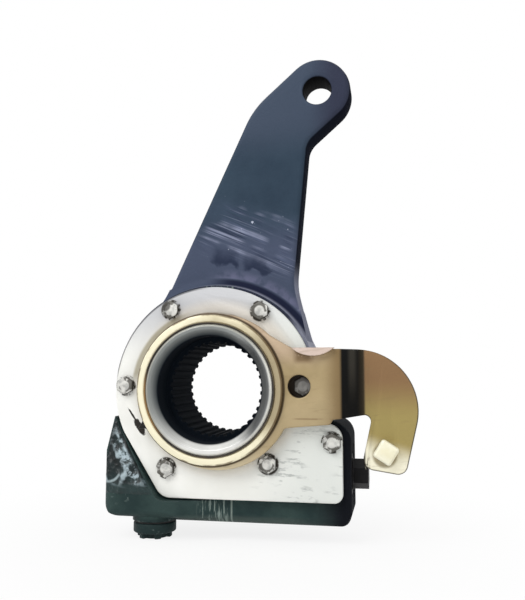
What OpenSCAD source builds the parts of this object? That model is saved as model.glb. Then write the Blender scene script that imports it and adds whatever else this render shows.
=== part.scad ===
// Automatic brake slack adjuster with a splined worm wheel, a rack and a control arm.
// X runs to the right of the front view, Y from the front cover to the rear, Z up to the lever eye.
// The origin is on the camshaft axis, in the joint plane between the housing and the front cover.

/* [Camshaft hub] */
// Radius of the smooth pilot at the front of the hub
pilot_r = 24.3; // [23:0.1:24.5]
// Depth of the pilot from the front of the hub
pilot_depth = 15; // [14:0.5:22]
// Radius to the tips of the internal spline teeth
spline_r = 21.4; // [20:0.1:21.6]
// Height of the spline teeth
spline_h = 1; // [0.8:0.1:1.2]
// Number of spline teeth
spline_teeth = 37; // [24:1:40]
// Outer radius of the hub at its rear, which runs in the housing
hub_r = 28; // [27:0.1:28.1]
// How much larger the hub's front end is, which runs in the control sleeve
nose_step = 1.6; // [1:0.1:1.8]
// How far the hub stands in front of the joint plane
hub_front = 12.5; // [12.5:0.5:14]
// How far the hub stands behind the housing
hub_rear = 3; // [1.5:0.5:8]
// Chamfer at the outer edges of the hub
hub_chamfer = 0.8; // [0.5:0.1:1]
// Chamfer at the mouth of the hub
mouth = 2.9; // [1.5:0.1:3]

/* [Worm gear] */
// Number of teeth on the worm wheel
wheel_teeth = 28; // [26:1:30]
// Pitch radius of the worm wheel
wheel_pitch_r = 30.7; // [30.5:0.1:31.2]
// Pitch radius of the worm
worm_pitch_r = 8.8; // [8.5:0.1:9.2]
// Height of a tooth above its pitch line
gear_addendum = 2.1; // [1.9:0.05:2.1]
// Room between a tooth tip and the mating root
gear_tip_gap = 0.4; // [0.3:0.05:0.4]
// Room between mating tooth flanks
gear_play = 0.45; // [0.4:0.05:0.6]
// Flank angle of the gear teeth
flank_angle = 20; // [18:1:22]
// Width of the worm wheel's toothed rim
rim_w = 17; // [14:0.5:17.5]
// Length of the worm's thread
thread_len = 30; // [26:0.5:30]

/* [Housing] */
// Radius of the drum round the worm wheel
drum_r = 48.8; // [48.4:0.1:50]
// Depth of the housing behind the joint plane
housing_d = 35; // [34:0.5:38]
// Right end of the worm barrel
barrel_right = 63; // [62:0.5:66]
// Left end of the worm barrel
barrel_left = 52; // [51.5:0.5:54]
// Depth of the barrel's underside below the worm axis
barrel_drop = 21.5; // [20:0.5:24]
// Height of the barrel's right shoulder above the worm axis
barrel_rise = 25.5; // [24:0.5:26]
// Corner radius at the lower left of the barrel
barrel_corner = 9; // [8:0.5:12]
// How much higher the rack boss ends than the barrel's underside
boss_lift = 2.2; // [1:0.1:2.5]
// How far the rack boss stands in front of the joint plane
boss_front = 7; // [5:0.5:8]
// Wall left round the worm wheel and the worm
inner_gap = 0.6; // [0.4:0.05:0.8]

/* [Lever] */
// Distance from the camshaft axis to the lever eye
eye_distance = 152.4; // [148:0.2:158]
// Lean of the lever eye to the right of the vertical, degrees
eye_lean = 18.55; // [17:0.05:20]
// Outer radius of the lever eye
eye_r = 16; // [14:0.5:17]
// Radius of the clevis pin bore
clevis_r = 7; // [6:0.1:8]
// Wall of the bush in the lever eye
bush_wall = 2; // [1.5:0.1:3]
// Direction of the short arm that ends in the eye, degrees above the horizontal
eye_arm_angle = 41.2; // [38:0.2:45]
// Front face of the lever behind the joint plane
lever_front = 7; // [4:0.5:9]
// Thickness of the lever
lever_t = 16; // [12:0.5:18]
// Radius of the hollow between the lever and the drum
lever_fillet = 6; // [3:0.5:7]

/* [Front cover] */
// Radius of the round part of the cover
cover_r = 47.6; // [46.5:0.1:48]
// Thickness of the cover
cover_t = 3; // [2.5:0.1:3.5]
// Thickness of the gasket
gasket_t = 0.5; // [0.3:0.1:0.8]
// Right edge of the cover
cover_right = 59.6; // [59:0.1:61]
// Lower edge of the cover below the worm axis
cover_drop = 10.4; // [9:0.1:11]
// Upper edge of the cover's right lobe above the worm axis
cover_rise = 24.3; // [23:0.1:25]
// Distance of the slanted lower left edge from the camshaft axis
cover_slant = 47.2; // [46.5:0.1:47.5]
// Direction that the slanted edge faces, degrees
slant_angle = 212.4; // [211:0.1:214]
// Circle of the cover screws
screw_circle = 42.4; // [42:0.1:43]
// Places of the screws on that circle, degrees
screw_angles = [2, 58, 119, 178, 239, 308]; // [0:1:359]
// Radius of the screw shanks
screw_r = 2.1; // [1.5:0.1:2.4]
// Width of the screw heads across flats
screw_head = 7.6; // [6:0.1:8.5]
// Height of the screw heads
screw_head_h = 2.2; // [1.5:0.1:2.3]
// Reach of the screws into the housing
screw_reach = 4.6; // [3:0.1:5]

/* [Control arm] */
// Thickness of the arm plate
arm_t = 3.5; // [3:0.1:3.6]
// Gap between the screw heads and the arm
arm_gap = 0.5; // [0.4:0.1:1]
// Wall of the sleeve that passes through the cover
sleeve_wall = 1.9; // [1.8:0.1:2.4]
// Width of the arm's ring round the sleeve
arm_ring_w = 3.4; // [3:0.1:4]
// Width of the collar round the sleeve
collar_w = 2.5; // [2:0.1:2.8]
// Height of the collar above the arm
collar_h = 2; // [1.5:0.1:2]
// How far the hook is set back from the arm
joggle = 9; // [7:0.5:10]
// Where the joggle starts
joggle_x = 60; // [59.5:0.5:62]
// Radius of the access hole over the screw under the arm
access_r = 5; // [4:0.1:5.5]
// Place of the anchor bolt right of the camshaft axis
anchor_x = 78.6; // [77.5:0.1:79]
// Place of the anchor bolt below the camshaft axis
anchor_drop = 27.2; // [26:0.1:28.5]
// Radius of the anchor bolt's shoulder in the hook
anchor_r = 3.2; // [3:0.1:3.6]
// Radius of the stud behind the nut
stud_r = 3; // [2.5:0.1:3.1]
// Length of the stud behind the nut
stud_len = 16; // [12:0.5:24]
// Width of the square bolt head
anchor_head = 8.8; // [8:0.1:10]
// Height of the square bolt head
anchor_head_h = 4.5; // [3:0.1:5]
// Width of the anchor nut across flats
nut_af = 10; // [9.5:0.1:11]
// Thickness of the anchor nut
nut_t = 5; // [4:0.1:6]
// Swing of the arm from rest, degrees
arm_swing = 15; // [10:1:15]

/* [Worm shaft] */
// Width of the adjusting hex across flats
hex_af = 12; // [11:0.1:12.4]
// Length of the adjusting hex outside the end cap
hex_len = 7; // [5:0.5:10]
// Radius of the right journal
journal_r = 7.2; // [7.2:0.1:8]
// Radius of the left journal
tail_r = 4.5; // [4:0.1:5]
// Radius of the end cap on the hex side
cap_r = 14; // [13.6:0.1:14.5]
// Length of the end cap on the hex side
cap_len = 10.6; // [9:0.1:12]
// Radius of the closed end cap
closed_cap_r = 13.4; // [13:0.1:14]
// Radius of the thrust balls
ball_r = 1.45; // [1.2:0.05:1.6]
// Number of thrust balls
ball_count = 12; // [8:1:14]
// Thickness of a bearing race
race_t = 2; // [1.5:0.1:2.5]
// Radius of the thrust spring's wire
thrust_wire_r = 1.6; // [1.2:0.1:1.8]
// Turns of the thrust spring
thrust_turns = 4; // [3:0.5:4.5]

/* [Clutch and rack] */
// Tooth size of the rack and pinion, pitch over pi
rack_module = 1.5; // [1.4:0.05:1.6]
// Number of pinion teeth
pinion_teeth = 12; // [11:1:12]
// Place of the rack left of the camshaft axis
rack_x = 30; // [29.5:0.1:30.5]
// Radius of the rack's round bar
rack_r = 5; // [4.6:0.1:5.2]
// Height of the drive pin below the camshaft axis
pin_drop = 17; // [16:0.5:18]
// Radius of the drive pin
pin_r = 2.6; // [2:0.1:2.8]
// Room between the drive pin and the fork
pin_play = 0.6; // [0.5:0.05:0.8]
// Radius of the rack plug's flange
plug_r = 10; // [8.5:0.1:11]
// Height of the rack plug's flange
plug_h = 4.5; // [3:0.1:6]
// Radius of the rack spring's wire
rack_wire_r = 0.55; // [0.4:0.05:0.6]
// Turns of the rack spring
rack_turns = 5; // [4:0.5:5]

/* [Fits] */
// Radial clearance of a running fit
running = 0.06; // [0.02:0.01:0.1]
// Radial clearance of a seal lip on a shaft
lip_gap = 0.1; // [0.05:0.01:0.15]
// Clearance of sliding guides and turning inner pieces
slide_gap = 0.3; // [0.2:0.05:0.4]

/* [Hidden] */
$fn = 64;

// Worm gear
worm_y = housing_d / 2;
worm_z = -(wheel_pitch_r + worm_pitch_r);
worm_lead = 2 * PI * wheel_pitch_r / wheel_teeth;
lead_angle = atan(worm_lead / (2 * PI * worm_pitch_r));
wheel_r = wheel_pitch_r + gear_addendum;
thread_r = worm_pitch_r + gear_addendum;
core_r = worm_pitch_r - gear_addendum - gear_tip_gap;
rim_front = worm_y - rim_w / 2;
rim_back = worm_y + rim_w / 2;

// Hub nose and the rings round it
nose_r = hub_r + nose_step;
sleeve_r = nose_r + sleeve_wall;
collar_r = sleeve_r + collar_w;
arm_ring_r = sleeve_r + arm_ring_w;

// Layers in front of the joint plane
cover_front = -gasket_t - cover_t;
arm_back = cover_front - screw_head_h - arm_gap;
arm_front = arm_back - arm_t;
collar_front = arm_front - collar_h;

// Layers behind the joint plane
disc_front = 0.8;
disc_t = 2.7;
disc_back = disc_front + disc_t;
disc_r = sleeve_r + 4.4;
nose_back = disc_back - 0.1;
fork_r = 43;
fork_gap = 0.6;
jaw = pin_r + pin_play;
jaw_wall = 2.8;
tongue_front = disc_back + 0.4;
recess_d = disc_back + 0.7;
recess_r = disc_r + 0.5;
seal_w = 3.4;
seal_h = 3;
cover_seal_w = 2;
cover_seal_h = 2.2;
hub_seal_h = 0.9;
hub_seal_in = 0.2;
hub_seal_out = 0.5;

// Stations along the worm axis, from the hex to the closed cap
hex_x = barrel_right + 0.2;
cap_x = barrel_right - 0.2 - cap_len;
outer_race_x = cap_x - race_t;
ball_x = outer_race_x - ball_r - 0.05;
inner_race_x = ball_x - ball_r - 0.05 - race_t;
flange_x = thread_len / 2 + 0.5;
flange_r = worm_pitch_r + 1.2;
collar_x = flange_x + 5;
seat_x = collar_x + 0.1;
seat_t = 2.4;
guide_r = core_r + 0.2;
race_in_r = journal_r + 0.4;
race_out_r = 12.6;
spring_r = 10.2;
bore_r = race_out_r + 0.4;
cone_x = -flange_x - 1.7;
cone_len = 4;
cone_big_r = flange_r - 1;
cone_small_r = cone_big_r - 2.4;
ring_r = flange_r + 0.6;
ring_x = cone_x - slide_gap;
ring_back = cone_x - cone_len - 0.8;
ring_hub_r = 7.2;
ring_hub_len = 2.4;
pinion_pitch_r = rack_module * pinion_teeth / 2;
pinion_w = 8.5;
pinion_front = -rack_x + pinion_w / 2;
pinion_back = pinion_front - pinion_w;
pinion_hub_r = 7.5;
wrap_turns = 2.5;
wrap_len = ring_back - pinion_front - 0.4;
wrap_wire_r = wrap_len / (2 * wrap_turns + 3.2);
washer_x = pinion_back - 0.7;
washer_t = 1.5;
closed_cap_x = washer_x - washer_t;
tail_x = closed_cap_x - 9.6;
bush_r = 7.5;
left_bore_r = 12.5;
socket_af = 7.2;
socket_d = 3.3;

// Rack
rack_pitch_y = worm_y - pinion_pitch_r;
rack_tip_y = rack_pitch_y + rack_module;
rack_root_y = rack_pitch_y - 1.25 * rack_module;
rack_y = rack_root_y - 1.4;
rack_pitch = PI * rack_module;
rack_play = 0.4;
rack_bottom = worm_z - 11;
bar_top = worm_z + 3.5;
tongue_w = 8;
tongue_top = -pin_drop + 4;
teeth_below = 1;
teeth_above = 3;
barrel_bottom = worm_z - barrel_drop;
boss_bottom = barrel_bottom + boss_lift;
fork_arm = 32;
travel = fork_arm * arm_swing * PI / 180;
plug_thread_r = rack_r + 2.5;
plug_top = rack_bottom - 2.5;
plug_seal_t = 1;
plug_flange_z = barrel_bottom - plug_seal_t;
spring_floor = plug_flange_z - plug_h - 1;
rack_spring_r = 3.2;
grip_teeth = 6;
grip_h = 2.6;
grip_w = 3.2;
grip_r = plug_r - 1.8;
grip_core_r = grip_r - grip_w / 2;

// Lever
eye = eye_distance * [sin(eye_lean), cos(eye_lean)];
eye_dir = [cos(eye_arm_angle), sin(eye_arm_angle)];
eye_left = [-eye_dir.y, eye_dir.x];
lever_left_at = [-12.3, 75.4];
lever_left_dir = [0.4185, 0.908];
lever_waist = [36.8, 49];
lever_right_dir = [0.094, 0.9955];
lever_left_run = 46;
lever_root_left = lever_left_at - lever_left_run * lever_left_dir;
lever_root_right = [46, 12];
shoulder_bend_r = 40;
neck_bend_r = 11;
waist_bend_r = 34;
eye_seat_r = clevis_r + bush_wall;
fillet_dip = 0.3;

// Control arm
arm_top = 18;
arm_bulge = [3.2, -0.8];
arm_bulge_r = arm_ring_r + 0.3;
lip_x = 47.5;
lip_r = 14.5;
lip_drop = 3.6;
lip_h = 2.4;
lip_rise = 0.6;
head_turn = -32;
head_corner = 1.4;
pointer_angle = 208;
pointer_w = 4.8;
pointer_len = 3.6;

// Cover
slant_dir = [cos(slant_angle), sin(slant_angle)];
slant_gap = 0.9;
boss_climb = 15;
boss_half = 14;
hood_top = -8;
hood_low = worm_z - 4;
hood_bend = 6;
barrel_end_r = 3;
cover_bottom = worm_z - cover_drop;
slant_foot = cover_slant * slant_dir;
slant_along = [-slant_dir.y, slant_dir.x];
corner_screw = [cover_right - 4.6, worm_z + 16.2];
screw_at = concat([for (a = screw_angles) screw_circle * [cos(a), sin(a)]], [corner_screw]);

// A point where two lines, each given by a point and a direction, meet.
function meet(p, d, q, e) = p + d * ((q - p).x * e.y - (q - p).y * e.x) / (d.x * e.y - d.y * e.x);
function unit(v) = v / norm(v);
function flat(p) = [p.x, p.y];
function cross2(a, b) = a.x * b.y - a.y * b.x;
// The start, end, centre, radius and turn of the arc that rounds corner i of an outline of [x, y, radius].
function corner_arc(p, i) = let (
    n = len(p),
    b = flat(p[i]),
    u = unit(flat(p[(i + n - 1) % n]) - b),
    v = unit(flat(p[(i + 1) % n]) - b),
    half = acos(u * v) / 2,
    t = p[i][2] / tan(half)
) [b + u * t, b + v * t, b + unit(u + v) * p[i][2] / sin(half), p[i][2], cross2(v, u)];

// An outline whose corners are [x, y, radius], counter-clockwise, with true arcs at its corners.
module outline(p) {
    arcs = [for (i = [0:len(p) - 1]) if (p[i][2] > 0) corner_arc(p, i)];
    difference() {
        union() {
            polygon([for (i = [0:len(p) - 1]) let (c = corner_arc(p, i))
                each (p[i][2] > 0 ? [c[0], c[1]] : [flat(p[i])])]);
            for (c = arcs) if (c[4] > 0) arc_segment(c);
        }
        for (c = arcs) if (c[4] < 0) arc_segment(c);
    }
}

// The part of a corner's circle that lies beyond the chord between its ends, with a small lap inside it.
module arc_segment(c) {
    chord = c[1] - c[0];
    lap = 0.1;
    side = cross2(chord, c[2] - c[0]) > 0 ? 180 : 0;
    intersection() {
        translate(c[2]) circle(c[3]);
        translate((c[0] + c[1]) / 2) rotate(atan2(chord.y, chord.x) + side) translate([-2 * c[3], -lap])
            square([4 * c[3], 2 * c[3]]);
    }
}

// An outline in X and Z carried along Y, one in Y and Z along X, and one in X and Y along Z.
module along_y(y0, y1) translate([0, y1, 0]) rotate([90, 0, 0]) linear_extrude(y1 - y0) children();
module along_x(x0, x1) translate([x0, 0, 0]) rotate([90, 0, 90]) linear_extrude(x1 - x0) children();
module along_z(z0, z1) translate([0, 0, z0]) linear_extrude(z1 - z0) children();
// A profile in radius and Y turned about the camshaft axis, and one in radius and X about the worm axis.
module turned_y() rotate([-90, 0, 0]) rotate_extrude() children();
module turned_x() translate([0, worm_y, worm_z]) rotate([0, 90, 0]) rotate_extrude() children();
module ring_y(y0, y1, r_in, r_out) along_y(y0, y1) difference() { circle(r_out); circle(r_in); }
module rod_x(x0, x1, r) translate([0, worm_y, worm_z]) along_x(x0, x1) circle(r);
module ring_x(x0, x1, r_in, r_out) translate([0, worm_y, worm_z]) along_x(x0, x1)
    difference() { circle(r_out); circle(r_in); }
module rod_z(z0, z1, r) translate([-rack_x, rack_y, 0]) along_z(z0, z1) circle(r);
module ring_z(z0, z1, r_in, r_out) translate([-rack_x, rack_y, 0]) along_z(z0, z1)
    difference() { circle(r_out); circle(r_in); }

// A closed solid through rings of points, each ring with the same number of points.
module sweep(rings) {
    m = len(rings[0]);
    last = len(rings) - 1;
    polyhedron(
        points = [for (ring = rings) each ring],
        faces = concat(
            [[for (k = [0:m - 1]) k]],
            [for (i = [0:last - 1]) for (k = [0:m - 1]) let (a = i * m + k, b = i * m + (k + 1) % m)
                each [[a, a + m, b + m], [a, b + m, b]]],
            [[for (k = [m - 1:-1:0]) last * m + k]]
        )
    );
}

// A coil spring along Z between two flat seats.
module coil(length, coil_r, wire_r, turns, sides = 6, steps = 16) {
    rise = length - 2 * wire_r;
    count = turns * steps;
    sweep([for (i = [0:count]) let (a = 360 * i / steps)
        [for (k = [0:sides - 1]) let (r = coil_r + wire_r * cos(360 * k / sides))
            [r * cos(a), r * sin(a), wire_r + rise * i / count + wire_r * sin(360 * k / sides)]]]);
}

// Round face of the lever in front view
module lever_outline() {
    left_bend = meet(lever_left_at, lever_left_dir, eye + eye_r * eye_left, eye_dir);
    right_bend = meet(lever_waist, lever_right_dir, eye - eye_r * eye_left, eye_dir);
    end_left = eye + eye_r * (eye_dir + eye_left);
    end_right = eye + eye_r * (eye_dir - eye_left);
    outline([
        [lever_root_left.x, lever_root_left.y, 0],
        [lever_root_right.x, lever_root_right.y, 0],
        [lever_waist.x, lever_waist.y, waist_bend_r],
        [right_bend.x, right_bend.y, neck_bend_r],
        [end_right.x, end_right.y, eye_r - 0.2],
        [end_left.x, end_left.y, eye_r - 0.2],
        [left_bend.x, left_bend.y, shoulder_bend_r]
    ]);
}

module barrel_outline() {
    outline([
        [-barrel_left, boss_bottom, barrel_corner],
        [-rack_x - plug_r, boss_bottom, 0],
        [-rack_x + plug_r, barrel_bottom, 0],
        [barrel_right, barrel_bottom, 6],
        [barrel_right, worm_z + barrel_rise, 9],
        [20, worm_z + barrel_rise, 0],
        [-20, -12, 0],
        [-46, -12, 0],
        [-barrel_left, -34, 12]
    ]);
}

// Side view of the barrel, with its rounded lower edges
module barrel_side() {
    outline([[0, barrel_bottom, 4], [housing_d, barrel_bottom, 10], [housing_d, 0, 0], [0, 0, 0]]);
}

// Plan view of the barrel, with its rounded ends
module barrel_plan() {
    outline([
        [-barrel_left, 0, 0],
        [barrel_right, 0, barrel_end_r],
        [barrel_right, housing_d, barrel_end_r],
        [-barrel_left, housing_d, 2 * barrel_end_r]
    ]);
}

// Boss of the rack, which stands in front of the cover's slanted edge under a sloping hood
module rack_boss() {
    edge = (cover_slant + slant_gap) * slant_dir;
    top = edge - boss_climb * slant_along;
    low = meet(edge, slant_along, [0, cover_bottom - slant_gap], [1, 0]);
    inner = boss_half - rack_x - 4;
    slope_end = inner + 23;
    back = worm_y;
    intersection() {
        along_y(-boss_front, back) outline([
            [top.x, top.y, 0],
            [-barrel_left, -34, 12],
            [-barrel_left, boss_bottom, barrel_corner],
            [slope_end, boss_bottom, 0],
            [slope_end, low.y, 0],
            [low.x, low.y, 5]
        ]);
        along_z(boss_bottom, 0) outline([
            [-barrel_left, -boss_front, 6],
            [inner, -boss_front, 30],
            [slope_end, 1, 0],
            [slope_end, back, 0],
            [-barrel_left, back, 0]
        ]);
        along_x(-barrel_left, slope_end) outline([
            [-boss_front, boss_bottom, 4],
            [back, boss_bottom, 0],
            [back, 0, 0],
            [0, hood_top, 0],
            [-boss_front, hood_low, hood_bend]
        ]);
    }
}

// Hollow between the lever and the drum, on the front and on the rear side
module lever_blend(face, way) {
    intersection() {
        along_y(0, housing_d) lever_outline();
        turned_y() difference() {
            translate([drum_r - 2, way > 0 ? face - lever_fillet : face])
                square([lever_fillet - fillet_dip + 2, lever_fillet]);
            translate([drum_r + lever_fillet - fillet_dip, face - way * lever_fillet]) circle(lever_fillet);
        }
    }
}

// Straight bar of the control disc's fork, grown by a gap
module fork_bar(gap) {
    half = jaw + jaw_wall + gap;
    translate([-2 * fork_r, -pin_drop - half]) square([2 * fork_r - disc_r / 2, 2 * half]);
}

// Space that the fork sweeps while the arm swings
module fork_sweep() intersection() {
    circle(fork_r + fork_gap);
    for (a = [0, arm_swing / 3, 2 * arm_swing / 3, arm_swing]) rotate(a) fork_bar(fork_gap);
}

module housing_cavities() {
    // worm wheel, control disc and rear bearing
    ring_y(-1, recess_d, 0, recess_r);
    ring_y(0, rim_back + 0.5, 0, wheel_r + inner_gap);
    ring_y(0, housing_d + 1, 0, hub_r + running);
    ring_y(housing_d - seal_w - 0.4, housing_d + 1, 0, hub_r + seal_h);
    along_y(-1, recess_d) fork_sweep();
    // worm barrel
    rod_x(cone_x - 1, collar_x, thread_r + inner_gap);
    rod_x(collar_x - 0.5, cap_x + 1, bore_r);
    rod_x(cap_x, barrel_right + 1, cap_r);
    rod_x(closed_cap_x - 1, cone_x + 0.5, left_bore_r);
    rod_x(-barrel_left - 1, closed_cap_x, closed_cap_r);
    // rack guide, tongue slot and plug thread
    rod_z(barrel_bottom - 1, bar_top + 1, rack_r + slide_gap);
    rod_z(barrel_bottom - 1, plug_top + 0.4, plug_thread_r);
    translate([-rack_x - tongue_w / 2 - slide_gap, tongue_front - slide_gap, bar_top - 0.5])
        cube([tongue_w + 2 * slide_gap, rack_tip_y + 0.6 - tongue_front + slide_gap, tongue_top + 1 - bar_top]);
    translate([-rack_x - tongue_w / 2 - slide_gap, rack_y, plug_top + 0.3])
        cube([tongue_w + 2 * slide_gap, rack_tip_y + 0.6 - rack_y, bar_top - plug_top]);
    // screw holes
    along_y(-1, screw_reach) for (p = screw_at) translate(p) circle(screw_r);
}

module housing() color([0.17, 0.2, 0.24]) difference() {
    union() {
        turned_y() outline([[0, 0, 0], [drum_r, 0, 0], [drum_r, housing_d, 5], [0, housing_d, 0]]);
        intersection() {
            along_y(0, housing_d) barrel_outline();
            along_x(-barrel_left, barrel_right) barrel_side();
            along_z(barrel_bottom, 0) barrel_plan();
        }
        rack_boss();
        // pad that the rack plug is screwed against
        rod_z(barrel_bottom, boss_bottom + 4, plug_r + 0.4);
    }
    housing_cavities();
}

module lever() color([0.17, 0.2, 0.24]) difference() {
    union() {
        along_y(lever_front, lever_front + lever_t) lever_outline();
        lever_blend(lever_front, 1);
        lever_blend(lever_front + lever_t, -1);
    }
    ring_y(-1, housing_d + 1, 0, drum_r);
    along_y(0, housing_d) translate(eye) circle(eye_seat_r);
}

module lever_bush() color([0.2, 0.21, 0.22])
    along_y(lever_front, lever_front + lever_t) translate(eye) difference() { circle(eye_seat_r); circle(clevis_r); }

module cover_outline() {
    corner = meet(slant_foot, slant_along, [0, cover_bottom], [1, 0]);
    rise = worm_z + cover_rise;
    difference() {
        union() {
            circle(cover_r);
            outline([
                [corner.x, corner.y, 8],
                [cover_right, cover_bottom, 4],
                [cover_right, rise, 7],
                [10, rise, 0],
                [0, 0, 0],
                [slant_foot.x, slant_foot.y, 0]
            ]);
        }
        rotate(slant_angle) translate([cover_slant, -cover_r]) square([cover_r, 2 * cover_r]);
    }
}

module front_cover() color([0.86, 0.87, 0.86]) difference() {
    along_y(cover_front, -gasket_t) difference() {
        cover_outline();
        circle(sleeve_r + running);
        for (p = screw_at) translate(p) circle(screw_r);
    }
    ring_y(cover_front - 1, cover_front + cover_seal_w, 0, sleeve_r + cover_seal_h);
}

module cover_gasket() color([0.2, 0.22, 0.2]) along_y(-gasket_t, 0) difference() {
    cover_outline();
    circle(recess_r + 0.4);
    fork_sweep();
    for (p = screw_at) translate(p) circle(screw_r);
}

module cover_screws() color([0.75, 0.75, 0.72]) for (p = screw_at) translate([p.x, 0, p.y]) {
    along_y(cover_front - screw_head_h, cover_front) rotate(90) circle(screw_head / sqrt(3), $fn = 6);
    along_y(cover_front, screw_reach) circle(screw_r);
}

module cover_seal() color([0.1, 0.1, 0.1]) 
    ring_y(cover_front, cover_front + cover_seal_w, sleeve_r + running, sleeve_r + cover_seal_h);

module rear_seal() color([0.1, 0.1, 0.1])
    ring_y(housing_d - seal_w - 0.4, housing_d - 0.4, hub_r + lip_gap, hub_r + seal_h);

// Internal spline as the hollow that is cut from the hub
module spline_hollow() {
    step = 360 / spline_teeth;
    polygon([for (i = [0:spline_teeth - 1]) for (c = [[-0.32, 0], [-0.2, 1], [0.2, 1], [0.32, 0]])
        (spline_r + c[1] * spline_h) * [cos((i + c[0]) * step), sin((i + c[0]) * step)]]);
}

// One gash between two worm wheel teeth, at the lowest point of the rim
module wheel_gash() {
    half = worm_lead / 4 + gear_play / 2;
    slope = tan(flank_angle);
    up = gear_addendum + gear_tip_gap;
    out = gear_addendum + 1;
    translate([0, worm_y, -wheel_pitch_r]) rotate([0, 0, lead_angle]) along_y(-rim_w / 2 - 3, rim_w / 2 + 3)
        polygon([[-half - out * slope, -out], [half + out * slope, -out], [half - up * slope, up],
            [-half + up * slope, up]]);
}

module worm_wheel() color([0.7, 0.71, 0.72]) difference() {
    back = housing_d + hub_rear;
    union() {
        turned_y() polygon([[0, -hub_front], [nose_r - hub_chamfer, -hub_front], [nose_r, hub_chamfer - hub_front],
            [nose_r, nose_back], [hub_r, nose_back], [hub_r, back - hub_chamfer], [hub_r - hub_chamfer, back],
            [0, back]]);
        difference() {
            ring_y(rim_front, rim_back, 0, wheel_r);
            for (i = [0:wheel_teeth - 1]) rotate([0, i * 360 / wheel_teeth, 0]) wheel_gash();
        }
    }
    ring_y(-hub_front - 1, pilot_depth - hub_front, 0, pilot_r);
    along_y(-hub_front, back + 1) spline_hollow();
    turned_y() polygon([[0, -hub_front - 1], [pilot_r + mouth + 1, -hub_front - 1], [pilot_r, -hub_front + mouth],
        [0, -hub_front + mouth]]);
    turned_y() polygon([[0, back + 1], [spline_r + spline_h + 2, back + 1], [spline_r, back - 1.6], [0, back - 1.6]]);
}

// Thread of the worm, as one helical ridge sunk a little into the core
module worm_thread(steps = 24) {
    half = worm_lead / 4 - gear_play / 2;
    slope = tan(flank_angle);
    foot = core_r - 0.5;
    turns = (thread_len - worm_lead) / worm_lead;
    count = floor(turns * steps / 2);
    sweep([for (i = [-count:count]) let (a = 90 + 360 * i / steps, x = worm_lead * i / steps)
        [for (c = [[foot, 1], [thread_r, 1], [thread_r, -1], [foot, -1]])
            [x + c[1] * (half + (worm_pitch_r - c[0]) * slope), worm_y + c[0] * cos(a), worm_z + c[0] * sin(a)]]]);
}

module worm_shaft() color([0.35, 0.36, 0.38]) {
    union() {
        turned_x() polygon([
            [0, tail_x], [tail_r, tail_x], [tail_r, cone_x - cone_len], [cone_small_r, cone_x - cone_len],
            [cone_big_r, cone_x], [flange_r, cone_x], [flange_r, -flange_x], [core_r, -flange_x],
            [core_r, flange_x], [flange_r, flange_x], [flange_r, collar_x], [guide_r, collar_x],
            [guide_r, inner_race_x - 1], [journal_r, inner_race_x - 1], [journal_r, hex_x], [0, hex_x]]);
        translate([hex_x - 0.5, worm_y, worm_z]) rotate([0, 90, 0])
            cylinder(h = hex_len + 0.5, r = hex_af / sqrt(3), $fn = 6);
        worm_thread();
    }
}

module spring_seat() color([0.6, 0.6, 0.62]) ring_x(seat_x, seat_x + seat_t, guide_r + 0.1, race_out_r - 0.4);

module thrust_spring() color([0.45, 0.46, 0.48]) translate([seat_x + seat_t, worm_y, worm_z]) rotate([0, 90, 0])
    coil(inner_race_x - seat_x - seat_t, spring_r, thrust_wire_r, thrust_turns);

module inner_race() color([0.72, 0.73, 0.75]) ring_x(inner_race_x, inner_race_x + race_t, race_in_r, race_out_r);

module outer_race() color([0.72, 0.73, 0.75]) ring_x(outer_race_x, outer_race_x + race_t, race_in_r, race_out_r);

// Places of the thrust balls round the worm axis
module at_balls() translate([ball_x, worm_y, worm_z])
    for (i = [0:ball_count - 1]) rotate([i * 360 / ball_count, 0, 0]) translate([0, 0, spring_r]) children();

module thrust_balls() color([0.8, 0.8, 0.82]) at_balls() sphere(ball_r);

module ball_cage() color([0.7, 0.55, 0.25]) difference() {
    ring_x(ball_x - 0.6, ball_x + 0.6, race_in_r + 0.4, race_out_r - 0.2);
    at_balls() rotate([0, 90, 0]) cylinder(h = 3, r = ball_r + 0.1, center = true);
}

module worm_end_cap() color([0.2, 0.22, 0.22]) difference() {
    rod_x(cap_x, cap_x + cap_len, cap_r);
    rod_x(cap_x - 1, barrel_right, journal_r + running);
    rod_x(cap_x + cap_len - seal_w - 0.4, barrel_right, journal_r + seal_h);
}

module worm_shaft_seal() color([0.08, 0.08, 0.08])
    ring_x(cap_x + cap_len - seal_w - 0.4, cap_x + cap_len - 0.4, journal_r + lip_gap, journal_r + seal_h);

module worm_bush() color([0.72, 0.56, 0.3]) ring_x(tail_x - 0.2, closed_cap_x, tail_r + running, bush_r);

module clutch_end_cap() color([0.2, 0.22, 0.22]) difference() {
    rod_x(-barrel_left + 0.3, closed_cap_x, closed_cap_r);
    rod_x(tail_x - 0.2, closed_cap_x + 1, bush_r);
    rod_x(-barrel_left - 1, -barrel_left + socket_d, socket_af / sqrt(3), $fn = 6);
}

module clutch_ring() color([0.55, 0.55, 0.57]) difference() {
    slope = (cone_big_r - cone_small_r) / cone_len;
    gap = slide_gap;
    union() {
        rod_x(ring_back, ring_x, ring_r);
        rod_x(ring_back - ring_hub_len, ring_back + 1, ring_hub_r);
    }
    turned_x() polygon([[0, cone_x - cone_len - gap], [cone_small_r + gap, cone_x - cone_len - gap],
        [cone_big_r + gap + slope, cone_x + 1 - gap], [0, cone_x + 1 - gap]]);
    rod_x(ring_back - 10, cone_x, tail_r + running);
}

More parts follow.
